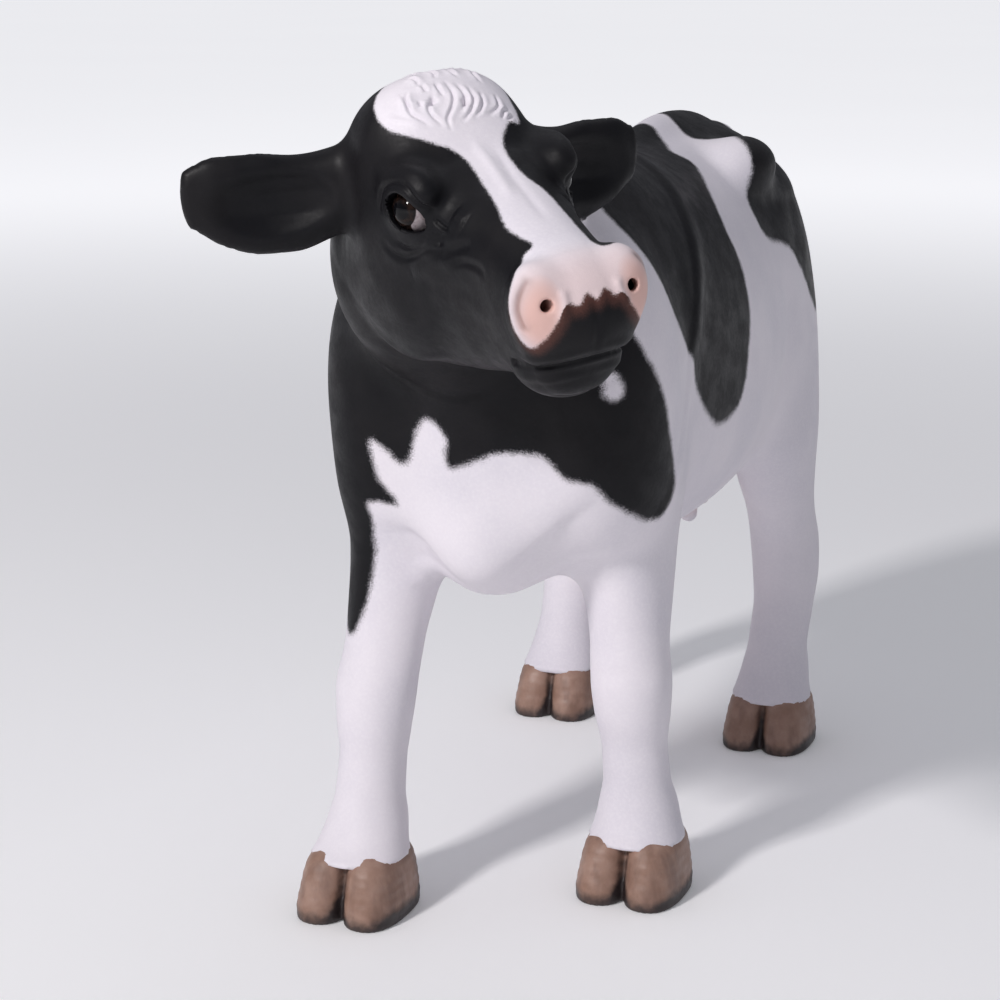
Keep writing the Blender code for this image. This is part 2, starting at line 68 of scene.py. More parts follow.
def pchip(x, y, xs):
    """Monotone cubic interpolation, clamped at both ends."""
    x, y = np.asarray(x, float), np.asarray(y, float)
    h = np.diff(x)
    d = np.diff(y) / h
    m = np.zeros_like(y)
    for i in range(1, len(x) - 1):
        if d[i - 1] * d[i] > 0:
            w1, w2 = 2 * h[i] + h[i - 1], h[i] + 2 * h[i - 1]
            m[i] = (w1 + w2) / (w1 / d[i - 1] + w2 / d[i])
    m[0], m[-1] = d[0], d[-1]
    xs = np.clip(xs, x[0], x[-1])
    i = np.clip(np.searchsorted(x, xs, side="right") - 1, 0, len(x) - 2)
    t = (xs - x[i]) / h[i]
    return (2 * t**3 - 3 * t**2 + 1) * y[i] + (t**3 - 2 * t**2 + t) * h[i] * m[i] + (3 * t**2 - 2 * t**3) * y[i + 1] + (t**3 - t**2) * h[i] * m[i + 1]


class Ell:
    """Ellipsoid: centre, radii, axes as rows of R."""

    def __init__(self, c, r, R=None):
        self.c, self.r = np.asarray(c, float), np.asarray(r, float)
        self.R = np.eye(3) if R is None else np.asarray(R, float)
        m = np.sqrt(((self.R.T * self.r) ** 2).sum(1))
        self.lo, self.hi = self.c - m, self.c + m

    def __call__(self, P):
        q = (P - self.c) @ self.R.T
        k0 = np.sqrt(((q / self.r) ** 2).sum(-1))
        k1 = np.sqrt(((q / self.r**2) ** 2).sum(-1))
        return k0 * (k0 - 1) / np.maximum(k1, 1e-9)


class Cone:
    """Round cone from a (radius ra) to b (radius rb)."""

    def __init__(self, a, b, ra, rb):
        self.a, self.b, self.ra, self.rb = np.asarray(a, float), np.asarray(b, float), ra, rb
        r = max(ra, rb)
        self.lo, self.hi = np.minimum(self.a, self.b) - r, np.maximum(self.a, self.b) + r

    def __call__(self, P):
        ba = self.b - self.a
        q = P - self.a
        h = np.clip((q @ ba) / (ba @ ba), 0, 1)
        return np.sqrt(((q - h[..., None] * ba) ** 2).sum(-1)) - (self.ra + (self.rb - self.ra) * h)


class Loft:
    """Superellipse sections along T from O. Rows: t, shift b, shift c, reach -b, +b, -c, +c, squareness."""

    def __init__(self, O, T, B, C, rows, cap0, cap1):
        self.O, self.T, self.B, self.C = np.asarray(O, float), unit(T), unit(B), unit(C)
        rows = np.asarray(rows, float)
        self.cap = (cap0, cap1)
        self.t0, self.t1 = rows[0, 0], rows[-1, 0]
        self.ts = np.linspace(self.t0, self.t1, 300)
        self.tab = [pchip(rows[:, 0], rows[:, i], self.ts) for i in range(1, 8)]
        pts = []
        for t, (b0, c0, bm, bp, cm, cp, n) in zip(self.ts[::10], np.array(self.tab).T[::10]):
            for sb in (-bm, bp):
                for sc in (-cm, cp):
                    pts.append(self.O + t * self.T + (b0 + sb) * self.B + (c0 + sc) * self.C)
        pts = np.array(pts)
        r = max(cap0, cap1)
        self.lo, self.hi = pts.min(0) - r * np.abs(self.T), pts.max(0) + r * np.abs(self.T)

    def __call__(self, P):
        q = P - self.O
        t, b, c = q @ self.T, q @ self.B, q @ self.C
        tt = np.clip(t, self.t0, self.t1)
        b0, c0, bm, bp, cm, cp, n = [np.interp(tt, self.ts, col) for col in self.tab]
        db, dc = b - b0, c - c0
        rb, rc = np.where(db > 0, bp, bm), np.where(dc > 0, cp, cm)
        cap = np.where(t < tt, self.cap[0], self.cap[1])
        e = np.abs(t - tt) / cap
        rho = (np.abs(db / rb) ** n + np.abs(dc / rc) ** n + 1e-12) ** (1 / n)
        gb, gc = np.abs(db / rb) ** (n - 1) / rb, np.abs(dc / rc) ** (n - 1) / rc
        g = np.sqrt(gb * gb + gc * gc) * rho ** (1 - n)
        rho2 = np.maximum(np.sqrt(rho**2 + e**2), 1e-6)
        ge = np.sqrt((rho / rho2 * g) ** 2 + (e / rho2 / cap) ** 2)
        return (rho2 - 1) / np.maximum(ge, 0.25 / np.maximum(np.maximum(rb, rc), 1e-6))


class Local:
    """A shape given in another frame: origin O, axes as rows of R."""

    def __init__(self, shape, O, R):
        self.shape, self.O, self.R = shape, O, R
        cs = np.array([[(shape.lo, shape.hi)[i >> k & 1][k] for k in range(3)] for i in range(8)])
        w = O + cs @ R
        self.lo, self.hi = w.min(0), w.max(0)

    def __call__(self, P):
        return self.shape((P - self.O) @ self.R.T)


def evaluate(shapes, P, far=20.0, margin=1.5):
    """Blends shapes in order at points P. Each entry is (add or cut, shape, softness)."""
    d = np.full(len(P), far)
    for op, shape, k in shapes:
        lo, hi = shape.lo - k - margin, shape.hi + k + margin
        idx = np.flatnonzero(((P >= lo) & (P <= hi)).all(1))
        if len(idx):
            v = shape(P[idx])
            d[idx] = smin(d[idx], v, k) if op == "add" else smax(d[idx], -v, k)
    return d


def narrow_grid(fn, lo, hi, h, coarse=4):
    """Field values on a grid of step h, exact near the surface and only rough elsewhere."""
    H = h * coarse
    n = np.ceil((hi - lo) / H).astype(int) + 1
    ax = [lo[i] + H * np.arange(n[i]) for i in range(3)]
    G = np.stack(np.meshgrid(*ax, indexing="ij"), -1).reshape(-1, 3)
    rough = fn(G, margin=4.6).reshape(n)
    m = (n - 1) * coarse + 1
    out = np.repeat(np.repeat(np.repeat(rough, coarse, 0), coarse, 1), coarse, 2)[: m[0], : m[1], : m[2]].astype(np.float32)
    near = np.argwhere(np.abs(rough[:-1, :-1, :-1]) < 2.1 * H)
    off = np.stack(np.meshgrid(*[np.arange(coarse)] * 3, indexing="ij"), -1).reshape(-1, 3)
    step = 40000
    for i in range(0, len(near), step):
        ijk = (near[i : i + step, None] * coarse + off[None]).reshape(-1, 3)
        out[tuple(ijk.T)] = fn(lo + ijk * h)
    return out


def surface_nets(d, lo, h):
    """Closed quad mesh of the zero level. Returns vertices and outward quads."""
    nx, ny, nz = d.shape
    s = d < 0
    corner = [(i, j, k) for i in (0, 1) for j in (0, 1) for k in (0, 1)]
    inside = [s[i : nx - 1 + i, j : ny - 1 + j, k : nz - 1 + k] for i, j, k in corner]
    act = np.logical_or.reduce(inside) & ~np.logical_and.reduce(inside)
    cells = np.argwhere(act)
    ids = np.full(act.shape, -1, np.int64)
    ids[act] = np.arange(len(cells))
    off = np.array(corner, float)
    vals = np.stack([d[tuple((cells + np.array(c)).T)] for c in corner], 1).astype(float)
    acc, cnt = np.zeros((len(cells), 3)), np.zeros(len(cells))
    for a in range(8):
        for b in range(a + 1, 8):
            if np.abs(off[a] - off[b]).sum() != 1:
                continue
            cross = (vals[:, a] < 0) != (vals[:, b] < 0)
            t = np.where(cross, vals[:, a] / np.where(cross, vals[:, a] - vals[:, b], 1), 0)
            acc += np.where(cross[:, None], off[a] + t[:, None] * (off[b] - off[a]), 0)
            cnt += cross
    V = (cells + acc / cnt[:, None]) * h + lo
    quads = []
    for ax in range(3):
        sl0, sl1 = [slice(None)] * 3, [slice(None)] * 3
        sl0[ax], sl1[ax] = slice(0, -1), slice(1, None)
        a, b = s[tuple(sl0)], s[tuple(sl1)]
        e = np.argwhere(a != b)
        u, v = [(1, 2), (2, 0), (0, 1)][ax]
        e = e[(e[:, u] > 0) & (e[:, v] > 0) & (e[:, u] < d.shape[u] - 1) & (e[:, v] < d.shape[v] - 1)]
        ins = a[tuple(e.T)]

        def cell(du, dv):
            q = e.copy()
            q[:, u] += du
            q[:, v] += dv
            return ids[tuple(q.T)]

        q = np.stack([cell(-1, -1), cell(0, -1), cell(0, 0), cell(-1, 0)], 1)
        q[~ins] = q[~ins][:, ::-1]
        quads.append(q)
    Q = np.concatenate(quads)
    return V, Q[(Q >= 0).all(1)]


def to_triangles(V, Q):
    """Splits each quad along its shorter diagonal."""
    d0 = ((V[Q[:, 0]] - V[Q[:, 2]]) ** 2).sum(1)
    d1 = ((V[Q[:, 1]] - V[Q[:, 3]]) ** 2).sum(1)
    a = np.where((d0 <= d1)[:, None], Q[:, [0, 1, 2]], Q[:, [0, 1, 3]])
    b = np.where((d0 <= d1)[:, None], Q[:, [0, 2, 3]], Q[:, [1, 2, 3]])
    return np.concatenate([a, b])


def refine(V, T, chosen):
    """Splits every edge whose two ends are chosen, with no cracks. Returns vertices and triangles."""
    E = np.concatenate([T[:, [0, 1]], T[:, [1, 2]], T[:, [2, 0]]])
    lo, hi = E.min(1), E.max(1)
    key = lo * len(V) + hi
    split = chosen[lo] & chosen[hi]
    uk = np.unique(key[split])
    mid = (V[uk // len(V)] + V[uk % len(V)]) / 2
    pos = np.searchsorted(uk, key)
    pos = np.minimum(pos, max(len(uk) - 1, 0))
    idx = np.where(split, len(V) + pos, -1).reshape(3, -1).T
    V = np.concatenate([V, mid])
    k = (idx >= 0).sum(1)
    out = [T[k == 0]]
    t, m = T[k == 3], idx[k == 3]
    out += [np.stack([t[:, 0], m[:, 0], m[:, 2]], 1), np.stack([m[:, 0], t[:, 1], m[:, 1]], 1), np.stack([m[:, 2], m[:, 1], t[:, 2]], 1), m]
    for s in range(3):
        r = [s, (s + 1) % 3, (s + 2) % 3]
        one = (k == 1) & (idx[:, s] >= 0)
        t, m = T[one][:, r], idx[one][:, s]
        out += [np.stack([t[:, 0], m, t[:, 2]], 1), np.stack([m, t[:, 1], t[:, 2]], 1)]
        two = (k == 2) & (idx[:, s] < 0)
        t, m1, m2 = T[two][:, r], idx[two][:, r[1]], idx[two][:, r[2]]
        out += [np.stack([t[:, 2], m2, m1], 1), np.stack([t[:, 0], t[:, 1], m1], 1), np.stack([t[:, 0], m1, m2], 1)]
    return V, np.concatenate(out)


def gradient(fn, P, e=0.02):
    g = np.stack([fn(P + e * ax) - fn(P - e * ax) for ax in np.eye(3)], 1)
    return g / (2 * e)


def settle(fn, P, rounds=2, reach=0.3):
    """Moves points onto the zero level along the field's gradient."""
    for _ in range(rounds):
        d, g = fn(P), gradient(fn, P)
        step = d / np.maximum((g * g).sum(1), 0.05)
        P = P - np.clip(step, -reach, reach)[:, None] * g
    return P


def vertex_normals(V, T):
    f = np.cross(V[T[:, 1]] - V[T[:, 0]], V[T[:, 2]] - V[T[:, 0]])
    n = np.zeros_like(V)
    for i in range(3):
        for k in range(3):
            n[:, k] += np.bincount(T[:, i], f[:, k], len(V))
    return n / np.maximum(np.linalg.norm(n, axis=1), 1e-12)[:, None]


def relax(V, T, rounds, amount=0.5):
    """Laplacian smoothing of a triangle mesh."""
    E = np.concatenate([T[:, [0, 1]], T[:, [1, 2]], T[:, [2, 0]]])
    cnt = np.bincount(E[:, 0], minlength=len(V)).astype(float)
    for _ in range(rounds):
        m = np.stack([np.bincount(E[:, 0], V[E[:, 1], k], len(V)) for k in range(3)], 1) / cnt[:, None]
        V = V + amount * (m - V)
    return V


def catmull(points, closed=False, step=0.2):
    """Points along a smooth curve through the given ones."""
    p = np.asarray(points, float)
    if closed:
        q = np.vstack([p[-1], p, p[0], p[1]])
    else:
        q = np.vstack([2 * p[0] - p[1], p, 2 * p[-1] - p[-2]])
    out = []
    for i in range(len(q) - 3):
        a, b, c, d = q[i : i + 4]
        n = max(int(np.linalg.norm(c - b) / step), 1)
        t = (np.arange(n) / n)[:, None]
        out.append(0.5 * (2 * b + (c - a) * t + (2 * a - 5 * b + 4 * c - d) * t**2 + (3 * b - a - 3 * c + d) * t**3))
    out = np.vstack(out)
    return out if closed else np.vstack([out, p[-1]])


class Tube:
    """Round tube along a polyline with a radius at each point."""

    def __init__(self, points, radii):
        self.p = np.asarray(points, float)
        self.r = np.broadcast_to(np.asarray(radii, float), (len(self.p),)).copy()
        m = self.r.max()
        self.lo, self.hi = self.p.min(0) - m, self.p.max(0) + m

    def __call__(self, P):
        best = np.full(len(P), 1e9)
        for a, b, ra, rb in zip(self.p[:-1], self.p[1:], self.r[:-1], self.r[1:]):
            ba = b - a
            q = P - a
            h = np.clip((q @ ba) / (ba @ ba), 0, 1)
            best = np.minimum(best, np.sqrt(((q - h[:, None] * ba) ** 2).sum(-1)) - (ra + (rb - ra) * h))
        return best


class Lens:
    """Almond-shaped opening facing N: two arcs that meet at the corners, from O outward."""

    def __init__(self, O, N, U, V, length, upper, lower, sag):
        self.O, self.N, self.U, self.V = O, N, U, V
        self.len, self.up, self.low, self.sag = length, upper, lower, sag
        m = length[0] + length[1] + 4
        self.lo, self.hi = O - m, O + m

    def __call__(self, P):
        q = P - self.O
        n, u, v = q @ self.N, q @ self.U, q @ self.V
        back, front = self.len
        t = np.where(u > 0, u / front, -u / back)
        mid = -self.sag * np.clip(u / front, -1, 1.2) * np.clip(u / front, 0, 1.2)
        arc = np.sqrt(np.maximum(1 - t**2, 0)) ** 1.25
        du = v - mid - self.up * arc
        dl = mid - self.low * arc - v
        return np.maximum(np.maximum(np.maximum(du, dl), (np.abs(t) - 1) * 2.0), -n)


# ================================================================ the figure's tables
X, Y, Z = np.eye(3)
# trunk along the back: y, top, bottom, half-width, height of the widest line, squareness
TRUNK = [
    (-42, 64.0, 43.6, 11.0, 54.0, 2.2), (-38, 75.0, 40.4, 15.0, 56.0, 2.2), (-31, 85.0, 38.8, 17.6, 58.0, 2.2),
    (-20, 89.0, 37.9, 18.4, 59.0, 2.2), (-8, 87.8, 36.9, 19.4, 58.0, 2.2), (4, 86.8, 36.6, 20.0, 57.0, 2.15),
    (15, 87.0, 37.2, 19.5, 57.5, 2.15), (25, 87.8, 39.5, 18.4, 60.0, 2.15), (34, 88.2, 43.5, 17.2, 64.0, 2.15),
    (42, 86.8, 49.0, 15.0, 67.0, 2.1), (48, 83.4, 57.0, 11.6, 70.0, 2.0),
]
# legs upward: z, out, back, half-width inside, outside, half-depth front, back, squareness
FRONT_LEG = [
    (7.0, 0.0, 0.6, 5.75, 5.75, 5.75, 5.7, 2.3), (8.6, 0.0, 1.2, 5.25, 5.25, 5.0, 5.1, 2.2), (11.0, 0.0, 1.6, 4.7, 4.7, 4.5, 5.2, 2.1),
    (14.0, 0.0, 1.5, 4.1, 4.1, 4.0, 4.3, 2.0), (18.0, 0.0, 1.3, 4.0, 4.0, 3.9, 3.9, 2.0), (22.5, 0.0, 1.0, 4.5, 4.6, 4.6, 4.4, 2.1),
    (26.5, 0.1, 0.9, 4.8, 4.9, 4.9, 4.6, 2.1), (31.0, 0.0, 1.4, 4.8, 4.7, 4.8, 5.0, 2.0), (37.0, 0.0, 2.2, 5.4, 5.0, 5.8, 6.6, 2.0),
    (43.0, 0.2, 2.6, 6.0, 5.2, 7.2, 8.6, 2.0), (50.0, 0.4, 1.6, 6.5, 5.6, 9.0, 9.5, 2.0), (58.0, -0.8, 0.5, 6.5, 5.4, 9.5, 10.0, 2.0),
    (66.0, -2.4, 2.0, 6.0, 5.0, 8.5, 10.0, 2.0), (74.0, -4.6, 4.5, 5.0, 4.2, 6.5, 8.0, 2.0),
]
HIND_LEG = [
    (7.0, 0.0, 0.4, 5.6, 5.6, 5.55, 5.5, 2.3), (8.6, 0.0, 1.0, 5.15, 5.15, 4.9, 5.0, 2.2), (11.0, 0.0, 2.0, 4.7, 4.7, 4.4, 5.2, 2.1),
    (14.5, 0.0, 3.0, 4.2, 4.2, 4.0, 4.4, 2.0), (19.0, 0.1, 4.6, 4.2, 4.3, 4.2, 4.4, 2.0), (24.0, -0.1, 6.4, 4.7, 4.7, 5.0, 5.0, 2.0),
    (28.5, -0.5, 7.0, 4.9, 4.8, 5.6, 5.6, 2.0), (33.0, -0.9, 5.6, 4.7, 4.8, 6.0, 6.2, 2.0), (38.5, -1.2, 3.4, 5.2, 5.3, 7.5, 8.0, 2.0),
    (45.0, -1.2, 1.6, 6.4, 5.8, 10.5, 10.5, 2.0), (52.0, -1.7, 2.4, 7.6, 5.6, 13.0, 12.5, 2.1), (60.0, -2.6, 3.6, 8.4, 5.5, 14.5, 13.0, 2.1),
    (69.0, -4.2, 4.0, 8.6, 5.2, 13.5, 11.5, 2.1), (78.0, -6.2, 3.6, 8.0, 4.6, 10.5, 9.0, 2.0),
]
FEET = {"front_right": (-13.6, -46.8), "front_left": (15.1, -29.2), "hind_left": (15.7, 29.7), "hind_right": (-17.6, 32.6)}
TOPS = {"front_right": (-12.5, -33.0), "front_left": (11.6, -30.0), "hind_left": (13.4, 33.0), "hind_right": (-13.4, 34.2)}
ENTRY = {"front": 58.0, "hind": 60.0}
# hoof sections: z, half-width, half-depth front, back, back shift, squareness
HOOF = [(-1.6, 6.4, 6.8, 6.6, 0.0, 2.5), (1.2, 6.5, 6.9, 6.7, 0.0, 2.5), (4.0, 6.2, 6.5, 6.4, 0.3, 2.4), (6.2, 5.8, 5.9, 5.9, 0.5, 2.35), (7.1, 5.4, 5.3, 5.5, 0.6, 2.3), (7.8, 4.6, 4.5, 4.8, 0.7, 2.3)]
HIND_HOOF_SCALE = 0.965
# head frame: a forward, b to its left, c up
HEAD_O = np.array([2.6, -56.4, 88.9])
HEAD_YAW, HEAD_PITCH, HEAD_ROLL = 48.3, 11.3, 9.6
# skull along a: a, sideways shift, top, bottom, half-width, height of the widest line, squareness
SKULL = [
    (-7.0, -0.4, 6.5, -12.0, 7.6, -1.0, 2.2), (-3.0, -1.0, 9.8, -17.0, 9.4, 0.0, 2.4), (1.0, -1.2, 10.9, -19.5, 9.6, 0.0, 2.4),
    (5.0, -0.8, 8.9, -19.6, 9.4, -1.0, 2.35), (10.0, 0.0, 4.8, -18.6, 8.8, -2.5, 2.3), (15.0, 0.0, 3.0, -17.0, 7.4, -4.5, 2.3),
    (20.0, 0.0, 1.9, -15.6, 6.3, -5.0, 2.3), (25.0, 0.0, 0.9, -14.8, 5.9, -5.6, 2.3), (28.0, 0.0, 0.2, -13.8, 5.8, -5.6, 2.3),
]
NECK_START, NECK_END = np.array([0.0, -24.0, 66.0]), np.array([1.2, -50.5, 84.5])
NECK = [(0.0, 16.5, 22.0, 20.0), (0.3, 14.0, 19.0, 18.0), (0.6, 11.5, 15.5, 15.0), (0.82, 10.0, 13.0, 12.5), (1.0, 9.4, 11.5, 11.0)]
# ear from its root: distance, upward shift, behind, in front, below, above
EAR = [(0.0, -0.4, 3.6, 3.2, 5.4, 3.8), (4.0, -1.4, 2.9, 2.6, 5.2, 4.0), (8.0, -2.2, 2.4, 2.2, 5.4, 4.8), (11.5, -2.2, 2.0, 2.0, 5.2, 5.4), (15.0, -1.6, 1.6, 1.7, 4.5, 5.0), (17.8, -0.9, 1.1, 1.1, 3.0, 3.5)]
EAR_LENGTH = {"left": 0.93, "right": 1.04}
EAR_DROOP = {"left": -0.24, "right": -0.02}
EAR_SWEEP = {"left": -0.16, "right": -0.26}
EAR_ROOT_HEIGHT = {"left": -0.2, "right": 1.2}
EYE_CENTRE, EYE_RADIUS = (8.4, 7.3, 0.0), 2.45
# tail from its root: x, y, z, radius
TAIL = [
    (0.0, 43.0, 84.0, 3.4), (0.0, 48.5, 83.6, 3.3), (0.0, 52.6, 80.4, 2.9), (-0.4, 54.2, 74.5, 2.4), (-2.6, 54.6, 62.0, 2.1), (-6.0, 54.6, 49.5, 2.1),
    (-7.8, 54.5, 43.0, 2.7), (-9.6, 54.4, 36.0, 3.4), (-11.2, 54.4, 30.0, 2.8), (-12.6, 54.4, 25.0, 1.2),
]
TEATS = [(4.2, 25.2, 32.6), (4.2, 31.2, 33.8)]


def head_axes():
    yaw, pitch, roll = (math.radians(v) for v in (HEAD_YAW, HEAD_PITCH, HEAD_ROLL))
    level = np.array([math.sin(yaw), -math.cos(yaw), 0.0])
    side = np.array([math.cos(yaw), math.sin(yaw), 0.0])
    a = level * math.cos(pitch) - Z * math.sin(pitch)
    c = level * math.sin(pitch) + Z * math.cos(pitch)
    return a, side * math.cos(roll) + c * math.sin(roll), c * math.cos(roll) - side * math.sin(roll)


A, B, C = head_axes()
HEAD_R = np.array([A, B, C])


def on_head(a, b, c):
    return HEAD_O + A * a + B * b + C * c


def to_head(P):
    return (P - HEAD_O) @ HEAD_R.T


def from_head(points):
    return HEAD_O + np.asarray(points, float) @ HEAD_R


def leg(which):
    rows = FRONT_LEG if which.startswith("front") else HIND_LEG
    side = 1 if which.endswith("left") else -1
    entry = ENTRY[which.split("_")[0]]
    foot, top = FEET[which], TOPS[which]
    out_at, back_at = (float(np.interp(entry, [r[0] for r in rows], [r[k] for r in rows])) for k in (1, 2))
    out = []
    for z, dx, dy, inner, outer, front, back, n in rows:
        g = min(max((z - 7.0) / (entry - 7.0), 0.0), 1.0)
        x = foot[0] + (top[0] - side * out_at - foot[0]) * g + side * dx
        y = foot[1] + (top[1] - back_at - foot[1]) * g + dy
        lo, hi = (inner, outer) if side > 0 else (outer, inner)
        out.append((z, x, y, lo, hi, front, back, n))
    return Loft((0, 0, 0), Z, X, Y, out, 0.7, 4.0)


def head_shape(shape):
    return Local(shape, HEAD_O, HEAD_R)


def ear_axes(side):
    """Root and axes of an ear in the head's frame."""
    s = 1 if side == "left" else -1
    root = np.array([-2.5, 8.0 * s, EAR_ROOT_HEIGHT[side]])
    along = unit((EAR_SWEEP[side], s, EAR_DROOP[side]))
    up = np.array([-0.12, 0, 1.0])
    up = unit(up - along * (up @ along))
    front = np.cross(along, up)
    return root, along, (front if front[0] > 0 else -front), up


def eye_axes(side):
    """Centre of the ball, and its outward, nose-ward and upward directions."""
    s = 1 if side == "left" else -1
    O = on_head(EYE_CENTRE[0], EYE_CENTRE[1] * s, EYE_CENTRE[2])
    n = unit(A * 0.44 + B * s * 0.88 + C * 0.16)
    u = A - n * (A @ n)
    u = unit(u)
    v = np.cross(u, n) if np.cross(u, n) @ C > 0 else np.cross(n, u)
    tilt = math.radians(6)
    return O, n, u * math.cos(tilt) - v * math.sin(tilt), v * math.cos(tilt) + u * math.sin(tilt)


def skin_shapes():
    S = [("add", Loft((0, 0, 0), Y, X, Z, [(y, 0, mid, w, w, mid - low, top - mid, n) for y, top, low, w, mid, n in TRUNK], 3.5, 3.0), 1.0)]
    S += [("add", Ell((0, 26, 85.4), (3.4, 17, 4.4)), 2.2)]                                   # ridge over the rump
    for s in (-1, 1):
        S += [("add", Ell((11.2 * s, 23, 83.0), (4.6, 6.5, 4.0)), 3.0)]                       # hip bone
        S += [("add", Ell((5.6 * s, 48.5, 77.5), (2.8, 3.2, 3.6)), 3.0)]                      # pin bone
    for which in ("front_right", "front_left"):
        S += [("add", leg(which), 5.0)]
    for which in ("hind_left", "hind_right"):
        S += [("add", leg(which), 4.0)]
    along = NECK_END - NECK_START
    length = np.linalg.norm(along)
    along = along / length
    across = unit(X - along * along[0])
    up = np.cross(across, along)
    up = up if up[2] > 0 else -up
    S += [("add", Loft(NECK_START, along, across, up, [(t * length, 0, 0, w, w, below, above, 2.1) for t, w, below, above in NECK], 3, 3), 6.0)]
    S += [("add", Ell((0, -37, 45), (5.8, 8.2, 6.7)), 4.0)]                                   # brisket
    S += [("add", Ell((-5.6, -46, 79), (9.0, 12, 13)), 6.0)]                                  # outer side of the neck's bend
    S += [("add", Ell((12.2, -35, 63), (7.9, 9.8, 17)), 5.0), ("add", Ell((-12.9, -35, 63), (8.1, 9.8, 17)), 5.0)]
    S += [("add", head_shape(Loft((0, 0, 0), X, Y, Z, [(a, b0, wide, w, w, wide - low, top - wide, n) for a, b0, top, low, w, wide, n in SKULL], 3.0, 3.2)), 4.0)]
    S += [("add", head_shape(Ell((28.2, 0, -5.6), (4.6, 6.9, 5.2))), 1.5)]                     # muzzle
    S += [("add", head_shape(Ell((25.0, 0, -12.0), (4.6, 4.9, 3.6))), 1.5)]                    # chin
    for s in (-1, 1):
        S += [("add", head_shape(Ell((8.6, 7.5 * s, 2.6), (4.4, 2.3, 2.3))), 1.8)]            # brow
        S += [("add", head_shape(Ell((2.0, 6.6 * s, -10.0), (8.5, 3.6, 8.0))), 2.5)]          # cheek
        S += [("add", head_shape(Ell((28.6, 4.4 * s, -3.4), (2.8, 2.6, 3.4))), 1.5)]          # nostril wing
    for side in ("left", "right"):
        root, along, front, up = ear_axes(side)
        k = EAR_LENGTH[side]
        S += [("add", head_shape(Loft(root, along, front, up, [(t * k, 0, shift, behind, ahead, below, above, 2.0) for t, shift, behind, ahead, below, above in EAR], 2.0, 1.0)), 1.5)]
        S += [("cut", head_shape(Ell(root + along * 10.6 * k + front * 2.7 - up * 1.9, (2.4, 6.7 * k, 3.8), np.array([front, along, up]))), 0.8)]
    S += [("add", Ell((0, 27.5, 42.5), (8.5, 9.0, 5.5)), 3.0)]                                 # udder
    for x, y, tip in TEATS:
        for s in (-1, 1):
            S += [("add", Cone((x * s * 0.96, y, tip + 7.0), (x * s, y, tip + 1.2), 1.7, 1.2), 1.2)]
    pts = np.array(TAIL)
    smooth = catmull(pts, step=2.0)
    S += [("add", Tube(smooth[:, :3], smooth[:, 3]), 1.6)]
    # eyelids around each socket
    for side in ("left", "right"):
        O, n, u, v = eye_axes(side)
        S += [("add", Ell(O, (EYE_RADIUS + 0.45,) * 3), 1.4)]
        S += [("cut", Lens(O, n, u, v, (2.45, 3.0), 2.0, 1.85, 0.6), 0.22)]
        S += [("cut", Ell(O, (EYE_RADIUS + 0.04,) * 3), 0.05)]
    # nostrils and the line of the mouth
    for s in (-1, 1):
        S += [("cut", head_shape(Tube([(31.2, 4.5 * s, -3.2), (30.0, 4.7 * s, -3.5), (29.2, 5.0 * s, -4.4), (29.4, 5.5 * s, -5.2)], [0.6, 0.75, 0.7, 0.4])), 0.5)]
    lip = [(24.6, 5.2, -11.3), (26.8, 5.3, -10.9), (29.2, 4.3, -10.3), (30.8, 2.4, -9.8), (31.3, 0, -9.6)]
    lip = lip + [(a, -b, c) for a, b, c in lip[-2::-1]]
    S += [("cut", head_shape(Tube(catmull(lip, step=1.0), 0.34)), 0.45)]
    return S


SHAPES = skin_shapes()


def skin(P, margin=1.5):
    return evaluate(SHAPES, P, margin=margin)


def hoof_field(which):
    x, y = FEET[which]
    k = 1.0 if which.startswith("front") else HIND_HOOF_SCALE
    shapes = []
    for s in (-1, 1):
        rows = [(z, x + s * (w * k - 3.45 * w / 6.5), y + dy, 3.45 * w / 6.5, 3.45 * w / 6.5, f * k, b * k, n) for z, w, f, b, dy, n in HOOF]
        shapes.append(("add", Loft((0, 0, 0), Z, X, Y, rows, 0.1, 0.4), 0.7))
    shapes.append(("cut", Tube([(x, y - 9.0 * k, -1), (x, y - 7.4 * k, 3.0), (x, y - 6.9 * k, 5.4)], [1.0, 0.9, 0.35]), 0.8))
    shapes.append(("cut", Tube([(x, y + 8.4 * k, -1), (x, y + 7.4 * k, 3.0), (x, y + 7.4 * k, 5.2)], [1.0, 0.8, 0.35]), 0.8))

    def field(P, margin=1.5):
        return smax(evaluate(shapes, P, margin=margin), -P[:, 2], 0.5)

    return field


# ================================================================ meshing
def sculpt(field, lo, hi, h):
    lo, hi = np.asarray(lo, float), np.asarray(hi, float)
    d = narrow_grid(field, lo, hi, h)
    V, Q = surface_nets(d, lo, h)
    return V, to_triangles(V, Q)


V, T = sculpt(skin, (-36, -99, 0.5), (40, 62, 104), 0.55)
V = relax(V, T, 2, 0.4)
V = settle(skin, V, 2)


def head_zone(P):
    """Distance outside the head and ears."""
    q = to_head(P)
    core = np.sqrt((np.maximum(np.abs(q[:, 0] - 12) - 14, 0)) ** 2 + q[:, 1] ** 2 + (q[:, 2] + 4) ** 2) - 16
    return core


V, T = refine(V, T, head_zone(V) < 2.0)
V = settle(skin, V, 2, 0.2)


def detail_zone(P):
    """True where the head needs its finest mesh: poll, eyes, muzzle."""
    q = to_head(P)
    poll = (q[:, 0] > -3) & (q[:, 0] < 10) & (q[:, 2] > 4.5)
    eyes = np.zeros(len(P), bool)
    for s in (-1, 1):
        eyes |= ((q - np.array([11.5, 8.0 * s, -0.8])) ** 2).sum(1) < 8.4**2
    muzzle = (q[:, 0] > 23.5)
    return poll | eyes | muzzle


